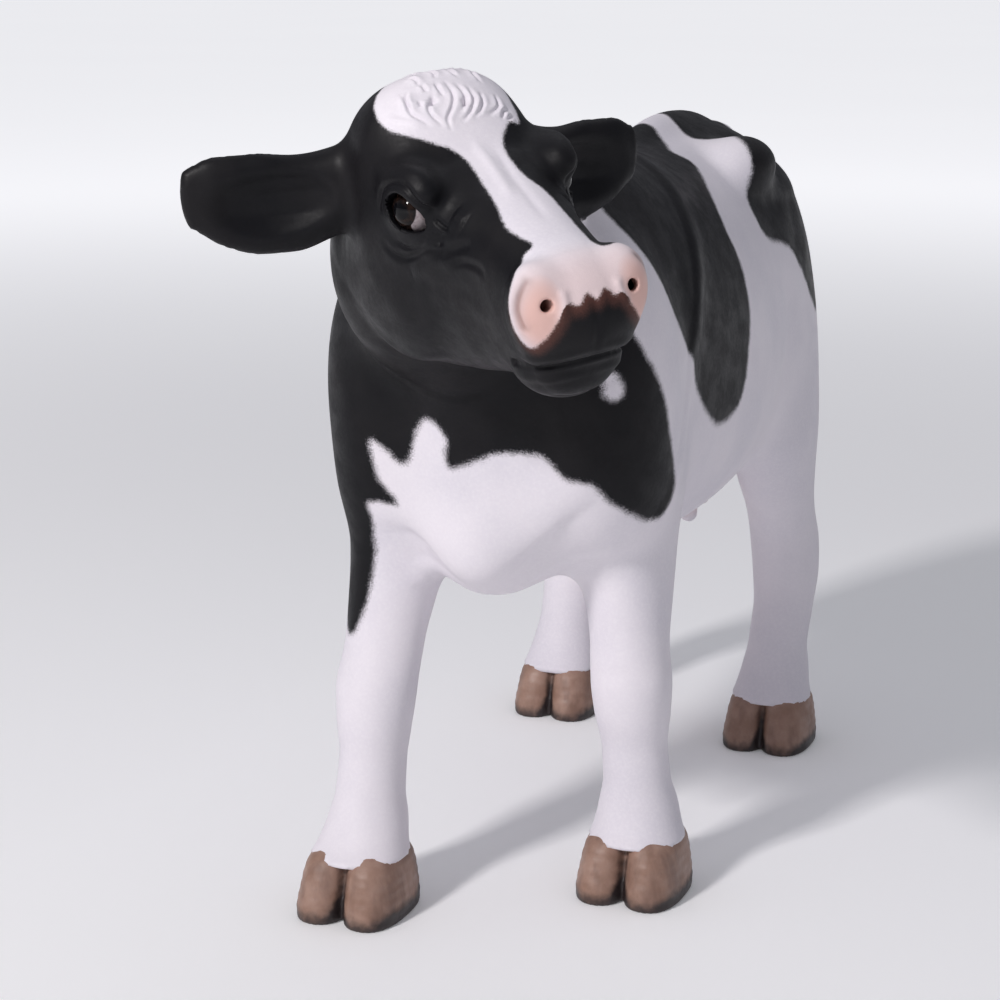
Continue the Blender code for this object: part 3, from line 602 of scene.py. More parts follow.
V, T = refine(V, T, detail_zone(V) & (head_zone(V) < 2.0))
V = settle(skin, V, 2, 0.15)
close = np.zeros(len(V), bool)
for side in ("left", "right"):
    O = eye_axes(side)[0]
    close |= ((V - O) ** 2).sum(1) < 4.6**2
V, T = refine(V, T, close)
V = settle(skin, V, 2, 0.1)
N = vertex_normals(V, T)
IN_HEAD = head_zone(V) < 1.0
EDGES = np.concatenate([T[:, [0, 1]], T[:, [1, 2]], T[:, [2, 0]]])
order = np.argsort(EDGES[:, 0], kind="stable")
NEXT = EDGES[order, 1]
START = np.searchsorted(EDGES[order, 0], np.arange(len(V) + 1))


def neighbours(ids):
    n = START[ids + 1] - START[ids]
    base = np.repeat(START[ids] - np.concatenate([[0], np.cumsum(n)[:-1]]), n)
    return NEXT[base + np.arange(n.sum())]


def nearest(P, samples, chunk=4_000_000):
    """Distance to, and index of, the nearest sample."""
    dist, idx = np.empty(len(P)), np.empty(len(P), int)
    step = max(chunk // max(len(samples), 1), 1)
    s2 = (samples**2).sum(1)
    for i in range(0, len(P), step):
        p = P[i : i + step]
        d2 = (p**2).sum(1)[:, None] + s2[None] - 2 * p @ samples.T
        k = d2.argmin(1)
        idx[i : i + step] = k
        dist[i : i + step] = np.sqrt(((p - samples[k]) ** 2).sum(1))
    return dist, idx


# ================================================================ relief: folds, hair strokes, tendons
def strokes(curves, depth, width, rise=0.0, rise_width=2.4, mirrored=False, world=False, taper=0.22):
    """Signed height along each curve: a groove of the given depth with a soft rise beside it."""
    global V
    total = np.zeros(len(V))
    sets = [np.asarray(c, float) for c in curves]
    if mirrored:
        sets += [c * np.array([1, -1, 1]) for c in sets]
    for c in sets:
        pts = catmull(c if world else from_head(c), step=0.12)
        reach = width * rise_width * 2.2
        lo, hi = pts.min(0) - reach, pts.max(0) + reach
        ids = np.flatnonzero(((V > lo) & (V < hi)).all(1))
        if not len(ids):
            continue
        pts = settle(skin, pts, 3, 0.6)
        d, k = nearest(V[ids], pts)
        t = k / max(len(pts) - 1, 1)
        ends = np.clip(np.minimum(t, 1 - t) / taper, 0.05, 1) ** 0.7
        total[ids] += ends * (-depth * np.exp(-((d / width) ** 2)) + rise * np.exp(-((d / (width * rise_width)) ** 2)))
    return total


HAIR = [
    [(2.1, -5.4, 9.6), (3.2, -5.4, 9.2), (4.4, -5.4, 8.3), (5.3, -4.9, 7.9), (6.1, -4.3, 7.4)],
    [(2.4, -4.9, 9.8), (3.2, -5.3, 9.2), (4.1, -5.3, 8.6)],
    [(3.8, -4.2, 9.2), (4.4, -4.3, 8.8)],
    [(2.3, -3.2, 10.3), (3.2, -3.1, 9.8)],
    [(3.7, -2.8, 9.5), (4.4, -3.0, 9.0), (4.7, -3.6, 8.8), (5.5, -3.7, 8.2), (6.6, -3.1, 7.3)],
    [(2.6, -1.8, 10.3), (3.2, -1.8, 9.9), (4.1, -1.7, 9.4)],
    [(2.7, -0.8, 10.3), (3.9, -0.6, 9.6), (4.7, -0.8, 9.1), (5.5, -1.4, 8.5), (6.3, -2.3, 7.7), (7.2, -2.4, 6.9)],
    [(3.2, 0.2, 10.1), (4.2, 0.5, 9.4), (4.9, 0.4, 8.9), (5.7, -0.2, 8.4), (6.0, -0.7, 8.1)],
    [(3.6, 1.3, 9.6), (4.9, 1.3, 8.9), (5.8, 0.7, 8.2), (6.4, -0.1, 7.7), (6.8, -0.9, 7.4)],
    [(4.3, 2.4, 9.1), (5.5, 2.0, 8.4), (6.2, 1.3, 7.8), (6.6, 0.5, 7.5)],
    [(4.3, 4.1, 8.5), (5.3, 3.8, 8.0), (5.9, 3.4, 7.6), (6.6, 2.2, 7.4)],
    [(6.0, 4.7, 7.1), (6.2, 3.9, 7.2), (7.0, 3.4, 6.8)],
    [(6.5, 4.9, 6.7), (6.9, 3.9, 6.6)],
    [(0.2, -3.9, 10.6), (1.3, -3.4, 10.6), (2.2, -3.5, 10.3)],
    [(-0.4, -1.6, 10.9), (0.9, -1.2, 10.9), (1.9, -1.5, 10.7)],
    [(-0.2, 0.8, 10.8), (1.0, 0.5, 10.8), (2.2, 0.8, 10.5)],
    [(0.4, 3.2, 10.2), (1.6, 2.8, 10.1), (2.8, 3.1, 9.6)],
    [(-2.4, -2.8, 10.0), (-1.4, -2.4, 10.4), (-0.6, -2.7, 10.6)],
    [(-2.2, 1.8, 9.9), (-1.2, 2.2, 10.3), (-0.3, 1.9, 10.5)],
]
PITS = [(4.3, -2.9, 9.1), (5.2, 0.2, 8.7)]
height = strokes(HAIR, 0.42, 0.24, 0.26, 2.6, taper=0.3)
height += strokes([[(3.1, -7.4, 7.8), (4.3, -6.4, 7.7), (6.1, -4.9, 7.2)]], -0.1, 0.3)
height += strokes([[(8.5, -0.5, 5.9), (13.3, -0.4, 3.5), (17.7, -1.0, 2.4)]], -0.22, 0.6)
height += strokes([[(9.2, 1.2, 5.6), (14.4, 0.9, 3.2), (19.1, 0.6, 2.1), (22.3, 0.4, 1.4)]], 0.14, 0.5)
for p in PITS:
    d = np.linalg.norm(V - from_head(p), axis=1)
    height -= 0.5 * np.exp(-((d / 0.42) ** 2))

# folds round each eye, the same on both sides: given for the right eye
EYE_SHIFT = np.array([-1.0, -0.2, -0.9])


def by_eye(points):
    return np.asarray(points, float) + EYE_SHIFT


height += strokes([by_eye([(6.2, -9.6, 0.3), (7.0, -9.4, 2.6), (9.4, -9.2, 4.0), (11.4, -8.6, 4.1), (12.9, -7.6, 3.0), (13.6, -6.9, 1.6)])], 0.42, 0.34, 0.18, 2.6, mirrored=True)
height += strokes([by_eye([(6.0, -9.4, 3.2), (8.4, -9.0, 5.4), (11.2, -8.0, 5.6), (13.2, -7.0, 4.4)])], -0.2, 0.8, mirrored=True)
height += strokes([by_eye([(13.4, -6.9, 1.0), (14.6, -6.4, 0.4), (15.4, -6.0, 0.2)])], 0.38, 0.3, 0.1, 2.4, mirrored=True)
height += strokes([by_eye([(8.6, -9.2, -2.3), (10.4, -8.6, -2.6), (12.2, -8.0, -1.9), (13.2, -7.4, -1.0)])], 0.26, 0.28, 0.16, 2.6, mirrored=True)
height += strokes([[(5.6, -9.8, -3.9), (6.8, -9.5, -4.6), (8.5, -9.1, -4.8), (10.3, -8.7, -4.1), (12.2, -8.1, -2.9), (13.8, -7.4, -2.6)]], 0.36, 0.45, 0.24, 2.4, mirrored=True)
height += strokes([[(13.3, -7.0, -1.0), (13.7, -7.1, -2.4)]], 0.3, 0.8, mirrored=True)
height += strokes([[(14.2, -7.3, -2.9), (15.8, -6.8, -2.2), (18.0, -5.9, -1.0)]], 0.34, 0.6, 0.1, 2.2, mirrored=True)
height += strokes([[(9.6, -8.8, -6.2), (12.2, -8.2, -5.0), (14.0, -7.6, -3.9), (16.3, -6.8, -2.9)]], -0.34, 0.75, mirrored=True)
height += strokes([[(15.8, -7.1, -3.8), (17.5, -6.5, -3.0), (19.9, -6.0, -2.9), (21.1, -5.9, -3.5)]], 0.34, 0.42, 0.16, 2.2, mirrored=True)
height += strokes([[(14.4, -6.2, 0.9), (16.2, -5.6, 0.4)]], -0.26, 1.0, mirrored=True)
height += strokes([[(11.6, -8.4, -7.6), (14.2, -7.5, -6.6), (17.0, -6.6, -5.9), (19.6, -6.2, -6.2)]], 0.14, 0.7, 0.1, 2.0, mirrored=True)
height += strokes([[(12.6, -8.1, -10.8), (16.2, -7.2, -9.2), (20.2, -6.4, -8.8)]], 0.12, 0.9, 0.08, 2.0, mirrored=True)
# jaw edge and the fold where the head meets the neck
height += strokes([[(-2.6, -9.2, -13.6), (2.5, -8.6, -17.6), (8.5, -7.0, -18.4), (14.0, -5.4, -17.0)]], -0.22, 1.2, mirrored=True)
height += strokes([[(0.5, -9.8, -6.0), (4.2, -9.9, -9.2), (8.4, -9.1, -12.6)]], -0.14, 1.5, mirrored=True)
# muzzle: rim of each nostril, the furrow behind the wing, lips
height += strokes([[(29.6, -5.4, -0.9), (29.7, -6.3, -2.2), (29.7, -6.6, -3.5), (30.0, -6.3, -4.9), (30.3, -5.6, -6.0)]], 0.34, 0.36, 0.2, 2.4, mirrored=True)
height += strokes([[(31.6, -3.0, -1.6), (31.9, -2.9, -3.0), (31.6, -3.5, -4.9)]], -0.26, 0.5, mirrored=True)
height += strokes([[(26.0, -6.4, -1.0), (26.2, -6.9, -4.0), (26.6, -6.6, -7.4)]], 0.26, 0.8, 0.12, 2.0, mirrored=True)
height += strokes([[(32.4, 0, -2.2), (32.3, 0, -5.2), (31.9, 0, -8.6)]], 0.16, 0.42, 0.05, 2.4)
height += strokes([[(24.2, -5.6, -9.9), (27.0, -5.6, -9.7), (29.8, -4.4, -8.9), (31.4, -2.2, -8.4), (31.8, 0, -8.3)]], -0.16, 0.55, mirrored=True)
height += strokes([[(24.6, -4.9, -12.6), (27.4, -4.4, -12.0), (29.2, -2.6, -11.4), (29.9, 0, -11.2)]], -0.18, 0.6, mirrored=True)
height += strokes([[(27.6, -2.9, -14.6), (28.6, 0, -14.2)]], 0.12, 0.5, mirrored=True)
# ear folds inside the bowls
for side, s in (("left", 1), ("right", -1)):
    root, along, front, up = ear_axes(side)
    for lift in (-2.6, -0.4, 1.6):
        c = [root + along * t * EAR_LENGTH[side] + front * 1.2 + up * (lift * (1 - 0.02 * t) - 1.0) for t in (5.0, 8.0, 11.5, 14.5)]
        height += strokes([c], 0.16, 0.5, 0.12, 2.0)
V = V + N * height[:, None]

# broad forms on the body: tendons, flank fold, brisket crease, tail hair
height = np.zeros(len(V))
for x0, (fx, fy) in (("f", FEET["front_right"]), ("f", FEET["front_left"])):
    for s in (-1, 1):
        height += strokes([[(fx + 1.9 * s, fy + 4.6, 11.5), (fx + 1.9 * s, fy + 5.0, 17), (fx + 2.0 * s, fy + 5.6, 22)]], -0.2, 0.8, world=True)
    height += strokes([[(fx - 3.4, fy - 3.0, 27.5), (fx, fy - 4.6, 28.6), (fx + 3.4, fy - 3.0, 27.5)]], 0.14, 1.0, world=True)
for fx, fy in (FEET["hind_left"], FEET["hind_right"]):
    height += strokes([[(fx, fy + 9.6, 22), (fx, fy + 12.2, 30), (fx, fy + 12.6, 38), (fx, fy + 13.4, 46)]], -0.35, 1.4, world=True)
    for s in (-1, 1):
        height += strokes([[(fx + 3.6 * s, fy + 9.0, 32), (fx + 3.4 * s, fy + 9.4, 38), (fx + 3.6 * s, fy + 8.4, 45)]], 0.3, 1.2, world=True)
for s in (-1, 1):
    height += strokes([[(18.6 * s, 14, 50), (17.6 * s, 19, 56), (17.0 * s, 22, 63), (16.2 * s, 22, 70)]], 0.3, 2.2, 0.1, 1.8, world=True)
    height += strokes([[(12.5 * s, -20, 80), (17.5 * s, -22, 70), (19.0 * s, -22, 60), (17.8 * s, -22, 50)]], 0.22, 1.8, 0.05, 1.8, world=True)
    height += strokes([[(15.6 * s, 33, 79), (17.2 * s, 30, 70)]], 0.25, 2.4, world=True)
tail = catmull(np.array(TAIL), step=0.4)
low = tail[tail[:, 2] < 50]
d, k = nearest(V, low[:, :3])
near_tail = (d < 6) & (V[:, 1] > 49) & (V[:, 2] < 50) & (V[:, 0] < 3)
ang = np.arctan2(V[:, 1] - low[k, 1], V[:, 0] - low[k, 0])
height[near_tail] += (0.32 * np.sin(9 * ang + 0.35 * V[:, 2]) * smoothstep(50, 43, V[:, 2]))[near_tail]
V = V + N * height[:, None]
N = vertex_normals(V, T)


# ================================================================ airbrushed patches
def patch(points, seed, head=False, closed=True):
    """Signed distance to a patch's outline over the skin, positive inside: the side that holds the seed."""
    pts = catmull(from_head(points) if head else points, closed, 0.25)
    pts = settle(skin, pts, 4, 0.8)
    tangent = np.roll(pts, -1, 0) - np.roll(pts, 1, 0)
    lo, hi = pts.min(0) - 3.2, pts.max(0) + 3.2
    ids = np.flatnonzero(((V > lo) & (V < hi)).all(1))
    coarse = pts[:: max(int(1.2 / 0.25), 1)]
    d, _ = nearest(V[ids], coarse)
    ids = ids[d < 3.4]
    d, k = nearest(V[ids], pts)
    side = np.einsum("ij,ij->i", np.cross(N[ids], tangent[k]), V[ids] - pts[k])
    facing = np.einsum("ij,ij->i", N[ids], gradient(skin, pts)[k])
    out = np.zeros(len(V), np.int8)
    band = (d < 1.5) & (facing > 0.2)
    # the side test is trusted only beside the line itself, facing the same way
    out[ids[band]] = np.where(side[band] > 0, 1, -1)
    front = np.flatnonzero(out != 0)
    while len(front):
        n = START[front + 1] - START[front]
        src = np.repeat(out[front], n)
        dst = neighbours(front)
        new = out[dst] == 0
        dst, src = dst[new], src[new]
        out[dst] = src
        front = np.unique(dst)
    value = np.full(len(V), 3.0)
    value[ids] = np.minimum(d, 3.0)
    sd = value * np.where(out > 0, 1.0, -1.0)
    at = ((V - np.asarray(from_head(seed) if head else seed, float)) ** 2).sum(1).argmin()
    return sd if sd[at] > 0 else -sd


COLLAR = [
    (-13.0, -42.3, 46.4), (-12.8, -42.6, 49.6), (-9.2, -43.1, 49.6), (-11.3, -43.5, 52.7), (-11.8, -44.6, 57.0), (-7.9, -44.3, 54.3), (-5.9, -44.6, 58.6),
    (-4.2, -45.1, 60.2), (-2.2, -45.3, 58.4), (-2.0, -45.2, 54.6), (3.1, -45.2, 56.5), (6.6, -44.6, 56.9), (9.1, -44.3, 56.5), (11.4, -44.0, 54.2),
    (14.0, -43.3, 53.4), (15.1, -42.0, 51.7), (16.7, -38.6, 49.6), (17.4, -35.0, 48.2), (18.3, -32.6, 48.6), (18.8, -31.2, 52.4), (20.2, -34.4, 58.0),
    (20.4, -36.1, 62.0), (19.7, -38.4, 66.0), (18.0, -40.5, 70.0), (14.6, -42.0, 75.0), (12.0, -41.5, 80.0), (8.0, -39.5, 86.0), (2.0, -37.5, 90.0),
    (-6.0, -36.5, 90.0), (-12.0, -34.0, 85.0), (-16.5, -30.0, 77.0), (-18.6, -27.0, 67.0), (-19.4, -26.5, 58.0), (-18.4, -29.0, 50.0), (-18.0, -33.0, 43.0),
    (-18.4, -38.0, 37.0), (-17.4, -41.6, 33.0), (-15.6, -42.8, 33.0), (-14.2, -42.8, 36.5), (-13.3, -42.2, 41.0),
]
SADDLE = [
    (3.7, 13.2, 87.0), (6.1, 9.2, 86.1), (8.4, 9.8, 84.9), (10.2, 8.4, 83.6), (12.5, 5.0, 81.4), (15.3, 2.2, 77.4), (17.4, 2.3, 73.0), (19.0, 1.6, 67.1),
    (19.6, -0.8, 61.8), (19.6, -2.4, 58.1), (19.3, -5.2, 55.4), (18.9, -10.9, 54.6), (18.7, -15.7, 57.2), (18.2, -20.3, 62.1), (18.0, -25.0, 67.3),
    (18.6, -29.0, 71.5), (17.0, -32.0, 76.0), (14.5, -33.5, 79.5), (11.0, -33.0, 83.2), (6.0, -30.0, 88.0), (0.0, -27.0, 89.6), (-5.0, -22.0, 89.0),
    (-9.0, -14.0, 86.5), (-13.5, -7.0, 82.0), (-17.0, -3.0, 76.0), (-17.5, 3.0, 74.5), (-14.0, 7.5, 79.5), (-9.0, 12.0, 84.0), (-4.0, 15.5, 87.0), (0.0, 15.8, 87.5),
]
RUMP = [
    (-4.6, 25.5, 89.0), (-0.9, 23.2, 89.4), (2.4, 21.5, 88.6), (5.2, 21.0, 87.4), (7.5, 23.1, 86.8), (9.6, 23.6, 86.4), (12.0, 20.4, 84.6), (14.2, 17.4, 80.4),
    (15.4, 16.6, 77.0), (16.6, 18.4, 74.2), (16.9, 26.0, 72.1), (17.3, 29.8, 68.8), (18.2, 34.0, 64.0), (17.9, 37.6, 61.8), (17.0, 41.4, 63.0), (13.6, 46.5, 66.0),
    (8.4, 50.6, 70.0), (5.0, 51.6, 75.0), (3.2, 50.6, 82.0), (1.0, 46.0, 87.2), (-6.0, 42.0, 86.6), (-11.5, 40.0, 82.0), (-14.0, 34.0, 80.0), (-12.5, 27.0, 83.6),
]
FLANK = [
    (-19.6, 6.0, 66.0), (-18.6, 12.0, 70.5), (-17.2, 18.0, 72.0), (-17.0, 24.0, 68.0), (-18.2, 27.0, 61.0), (-18.4, 24.0, 54.5), (-18.0, 18.0, 50.0), (-18.0, 11.0, 45.5),
    (-18.2, 5.0, 45.0), (-19.2, 1.0, 50.5), (-19.8, 2.5, 58.5),
]
HAUNCH = [(-17.0, 36.0, 71.0), (-16.4, 41.0, 66.0), (-17.4, 40.0, 59.0), (-18.6, 36.0, 54.5), (-19.0, 32.0, 58.0), (-18.4, 32.5, 65.5)]
# blaze, poll and muzzle top, round in the head's frame
BLAZE = [
    (-1.4, -6.2, 9.2), (0.8, -7.6, 8.3), (3.0, -8.0, 7.3), (4.8, -7.2, 6.7), (7.5, -4.6, 6.0), (9.5, -2.6, 5.0), (12.7, -2.3, 3.6), (17.1, -2.7, 2.3),
    (21.0, -3.3, 0.9), (24.9, -2.7, 0.5), (25.6, -4.1, -0.3), (28.0, -6.2, -1.0), (28.7, -6.9, -4.0), (29.2, -6.7, -6.4), (29.9, -6.0, -7.6), (30.8, -5.2, -7.0),
    (31.7, -3.9, -5.0), (32.0, -2.8, -3.2), (32.1, -1.6, -3.6), (32.1, -0.7, -2.5), (32.2, 0.3, -3.3), (32.1, 1.3, -2.4), (32.1, 2.2, -3.4), (31.9, 3.0, -3.4), (31.6, 4.2, -5.2),
    (30.8, 5.3, -6.8), (29.9, 6.0, -7.4), (29.0, 6.8, -5.4), (28.4, 6.6, -2.4), (27.8, 5.6, -0.9), (28.4, 3.4, -0.1), (26.7, 2.8, 0.1), (22.4, 3.0, 0.8), (19.0, 3.1, 1.6),
    (16.1, 2.8, 2.5), (12.8, 2.0, 3.8), (9.5, 2.2, 5.2), (7.3, 3.9, 6.4), (6.9, 5.2, 6.0), (4.6, 5.9, 7.2), (2.0, 6.2, 8.4), (-1.0, 5.6, 9.2), (-3.4, 3.2, 9.4),
    (-4.2, -0.6, 9.2), (-3.4, -4.2, 9.0),
]
ink = patch(COLLAR, (0, -52, 84))
ink = np.maximum(ink, patch(SADDLE, (17.5, -12, 72)))
ink = np.maximum(ink, patch(RUMP, (16, 30, 78)))
ink = np.maximum(ink, patch(FLANK, (-19.5, 12, 58)))
ink = np.maximum(ink, patch(HAUNCH, (-18.6, 36, 62)))
ink = np.minimum(ink, -patch(BLAZE, (16.0, 0.0, 3.0), head=True))


def spot(centre, reach):
    """Soft round spot on the skin: positive inside."""
    return reach - np.linalg.norm((V - np.asarray(centre, float)), axis=1)


ink = np.minimum(ink, -spot((16.6, -43.2, 64.3), 1.25))
ink = np.minimum(ink, -spot((16.3, -43.6, 65.4), 1.0))
ink = np.maximum(ink, spot((-2.2, -45.2, 56.6), 0.7))
q = to_head(V)
on_face = IN_HEAD & (q[:, 0] > -8)
edge_softness = np.where(on_face, 0.30, 0.62)
# pink skin: nostrils and nose, udder
pink = np.zeros(len(V))
for s in (-1, 1):
    d = np.sqrt(((q[:, 0] - 30.4) / 1.9) ** 2 + ((q[:, 1] - 4.7 * s) / 2.0) ** 2 + ((q[:, 2] + 4.2) / 3.0) ** 2)
    pink = np.maximum(pink, 1.0 - smoothstep(0.7, 1.7, d))
nose = smoothstep(26.0, 31.5, q[:, 0]) * smoothstep(-9.0, -6.5, q[:, 2]) * on_face
pink = np.maximum(pink, 0.45 * nose)
d = np.sqrt((V[:, 0] / 8.5) ** 2 + ((V[:, 1] - 28.5) / 9.5) ** 2 + ((V[:, 2] - 38.5) / 6.5) ** 2)
pink = np.maximum(pink, 0.55 * (1.0 - smoothstep(0.75, 1.15, d)))
pink = np.where((V[:, 2] > 60) & ~on_face, 0, pink)
# brown paint round the nostrils, darkened as painted shade in each opening and in the furrow behind each wing; and the
# airbrushed upper edge of the dark muzzle
brown = np.zeros(len(V))
for s in (-1, 1):
    hole = np.linalg.norm((q - np.array([29.4, 4.5 * s, -3.7])) / np.array([1.4, 0.9, 1.3]), axis=1)
    brown = np.maximum(brown, 0.9 * (1 - smoothstep(0.6, 1.5, hole)))
    furrow = catmull([(29.7, 5.7 * s, -1.2), (29.7, 6.5 * s, -2.4), (29.7, 6.7 * s, -3.7), (30.0, 6.3 * s, -5.1)], step=0.2)
    d, _ = nearest(q, furrow)
    brown = np.maximum(brown, 0.6 * np.exp(-((d / 0.6) ** 2)))
warm = smoothstep(28.0, 30.5, q[:, 0]) * smoothstep(-10.5, -8.0, q[:, 2]) * on_face


# ================================================================ objects
def make_mesh(name, V, T, attributes=None):
    """A smooth-shaded mesh object in the row's frame."""
    mesh = bpy.data.meshes.new(name)
    P = (np.asarray(V) - CENTRE) * MM
    mesh.vertices.add(len(P))
    mesh.vertices.foreach_set("co", P.astype(np.float32).ravel())
    mesh.loops.add(T.size)
    mesh.loops.foreach_set("vertex_index", T.astype(np.int32).ravel())
    mesh.polygons.add(len(T))
    mesh.polygons.foreach_set("loop_start", np.arange(0, T.size, 3, dtype=np.int32))
    mesh.polygons.foreach_set("loop_total", np.full(len(T), 3, np.int32))
    mesh.update(calc_edges=True)
    mesh.validate()
    mesh.polygons.foreach_set("use_smooth", np.ones(len(mesh.polygons), bool))
    for key, values in (attributes or {}).items():
        layer = mesh.attributes.new(key, "FLOAT", "POINT")
        layer.data.foreach_set("value", np.asarray(values, np.float32))
    obj = bpy.data.objects.new(name, mesh)
    bpy.context.scene.collection.objects.link(obj)
    return obj


class Nodes:
    """Short-hand for building a material's node tree."""

    def __init__(self, name):
        self.mat = bpy.data.materials.new(name)
        self.mat.use_nodes = True
        self.tree = self.mat.node_tree
        self.shader = self.tree.nodes["Principled BSDF"]

    def add(self, kind, **values):
        node = self.tree.nodes.new(kind)
        for key, value in values.items():
            if hasattr(node, key):
                setattr(node, key, value)
            else:
                node.inputs[key.replace("_", " ")].default_value = value
        return node

    def link(self, a, b):
        self.tree.links.new(a, b)

    def coords(self):
        return self.add("ShaderNodeTexCoord").outputs["Object"]

    def noise(self, scale, detail=2.0, rough=0.5):
        n = self.add("ShaderNodeTexNoise")
        n.inputs["Scale"].default_value = scale
        n.inputs["Detail"].default_value = detail
        n.inputs["Roughness"].default_value = rough
        self.link(self.coords(), n.inputs["Vector"])
        return n.outputs["Fac"]

    def attribute(self, name):
        return self.add("ShaderNodeAttribute", attribute_name=name).outputs["Fac"]

    def math(self, op, a, b=None, clamp=False):
        n = self.add("ShaderNodeMath", operation=op, use_clamp=clamp)
        for i, v in enumerate((a, b)):
            if v is None:
                continue
            if isinstance(v, (int, float)):
                n.inputs[i].default_value = v
            else:
                self.link(v, n.inputs[i])
        return n.outputs[0]

    def ramp(self, value, low, high, to_low=0.0, to_high=1.0):
        n = self.add("ShaderNodeMapRange", interpolation_type="SMOOTHSTEP")
        self.link(value, n.inputs["Value"])
        for key, v in (("From Min", low), ("From Max", high), ("To Min", to_low), ("To Max", to_high)):
            if isinstance(v, (int, float)):
                n.inputs[key].default_value = v
            else:
                self.link(v, n.inputs[key])
        return n.outputs["Result"]

    def mix(self, factor, a, b):
        n = self.add("ShaderNodeMix", data_type="RGBA")
        for key, v in ((0, factor), (6, a), (7, b)):
            if isinstance(v, tuple):
                n.inputs[key].default_value = (*v, 1.0)
            elif isinstance(v, (int, float)):
                n.inputs[key].default_value = v
            else:
                self.link(v, n.inputs[key])
        return n.outputs[2]

    def bump(self, height, strength, distance):
        n = self.add("ShaderNodeBump")
        n.inputs["Strength"].default_value = strength
        n.inputs["Distance"].default_value = distance
        self.link(height, n.inputs["Height"])
        return n

    def set(self, key, value):
        if isinstance(value, (int, float, tuple)):
            self.shader.inputs[key].default_value = value
        else:
            self.link(value, self.shader.inputs[key])


def hide_paint():
    m = Nodes("painted_hide")
    ink_, soft = m.attribute("ink"), m.attribute("edge_softness")
    wobble = m.math("MULTIPLY", m.math("SUBTRACT", m.noise(620, 3.0), 0.5), m.math("MULTIPLY", soft, 1.1))
    grain = m.math("MULTIPLY", m.math("SUBTRACT", m.noise(7000, 1.0, 0.7), 0.5), m.math("MULTIPLY", soft, 2.2))
    edge = m.math("ADD", m.math("ADD", ink_, wobble), grain)
    black = m.ramp(edge, m.math("MULTIPLY", soft, -0.9), m.math("MULTIPLY", soft, 0.9))
    cloud = m.ramp(m.noise(60, 3.0), 0.35, 0.7)
    fine = m.noise(2500, 2.0, 0.6)
    white = m.mix(cloud, (0.78, 0.74, 0.79), (0.70, 0.67, 0.73))
    white = m.mix(m.ramp(fine, 0.35, 0.75, 0.0, 0.25), white, (0.86, 0.83, 0.86))
    white = m.mix(m.attribute("pink"), white, (0.72, 0.47, 0.42))
    # painted shade in the nostrils and in the furrows behind their wings, over brown paint
    white = m.mix(m.attribute("brown"), white, (0.16, 0.075, 0.06))
    dark = m.mix(m.ramp(m.noise(90, 3.0), 0.35, 0.7), (0.0042, 0.0042, 0.0058), (0.0088, 0.0080, 0.0095))
    # pale specks of dust and dry spray on the dark coat, which also stand in for painted glints of light
    dust_and_glint = m.ramp(m.noise(5200, 2.0, 0.75), 0.66, 0.80, 0.0, 0.14)
    dark = m.mix(dust_and_glint, dark, (0.10, 0.095, 0.11))
    # the muzzle's dark paint thins to brown at its upper edge
    thin = m.math("MULTIPLY", m.attribute("warm"), m.ramp(edge, 1.6, 0.1))
    dark = m.mix(thin, dark, (0.085, 0.035, 0.028))
    m.set("Base Color", m.mix(black, white, dark))
    rough = m.ramp(m.noise(400, 3.0), 0.3, 0.7, 0.40, 0.52)
    rough = m.math("ADD", rough, m.math("MULTIPLY", m.ramp(fine, 0.3, 0.7), 0.06))
    m.set("Roughness", rough)
    m.set("Specular IOR Level", 0.17)
    m.set("Coat Weight", 0.0)
    m.set("Coat Roughness", 0.28)
    peel = m.bump(m.noise(1500, 3.0, 0.55), 0.16, 0.00012)
    spray = m.bump(m.noise(6500, 2.0, 0.7), 0.22, 0.00005)
    m.link(peel.outputs["Normal"], spray.inputs["Normal"])
    m.set("Normal", spray.outputs["Normal"])
    return m.mat


def hoof_paint():
    m = Nodes("painted_hoof")
    cloud = m.ramp(m.noise(300, 4.0, 0.6), 0.3, 0.72)
    base = m.mix(cloud, (0.26, 0.150, 0.108), (0.36, 0.23, 0.18))
    rise = m.add("ShaderNodeMapping")
    rise.inputs["Scale"].default_value = (500, 500, 90)
    m.link(m.coords(), rise.inputs["Vector"])
    streak = m.add("ShaderNodeTexNoise")
    streak.inputs["Scale"].default_value = 1.0
    streak.inputs["Detail"].default_value = 3.0
    m.link(rise.outputs["Vector"], streak.inputs["Vector"])
    base = m.mix(m.ramp(streak.outputs["Fac"], 0.45, 0.75, 0.0, 0.55), base, (0.15, 0.085, 0.065))
    # dark paint towards the ground with painted shade in the cleft, broken up by noise
    dark_paint_and_shade = m.math("ADD", m.attribute("dark_paint_and_shade"), m.math("MULTIPLY", m.math("SUBTRACT", m.noise(900, 3.0), 0.5), 0.5))
    m.set("Base Color", m.mix(m.ramp(dark_paint_and_shade, 0.25, 0.95), base, (0.022, 0.014, 0.014)))
    m.set("Roughness", m.ramp(m.noise(700, 3.0), 0.3, 0.7, 0.38, 0.55))
    m.set("Normal", m.bump(m.noise(2200, 3.0, 0.6), 0.25, 0.00008).outputs["Normal"])
    return m.mat


def eye_paint():
    m = Nodes("glossy_eye")
    white_ = m.attribute("sclera")
    veins = m.ramp(m.noise(2600, 3.0, 0.7), 0.45, 0.72, 0.0, 0.55)
    pale = m.mix(veins, (0.40, 0.35, 0.36), (0.15, 0.09, 0.10))
    iris = m.mix(m.ramp(m.noise(1800, 3.0), 0.35, 0.7), (0.006, 0.004, 0.004), (0.020, 0.011, 0.008))
    ring = m.mix(m.attribute("pupil"), iris, (0.002, 0.002, 0.003))
    m.set("Base Color", m.mix(m.ramp(white_, 0.3, 0.7), ring, pale))
    m.set("Roughness", m.ramp(m.noise(900, 2.0), 0.3, 0.7, 0.035, 0.07))
    m.set("Coat Weight", 0.10)
    m.set("Coat Roughness", 0.02)
    m.set("Specular IOR Level", 0.12)
    return m.mat


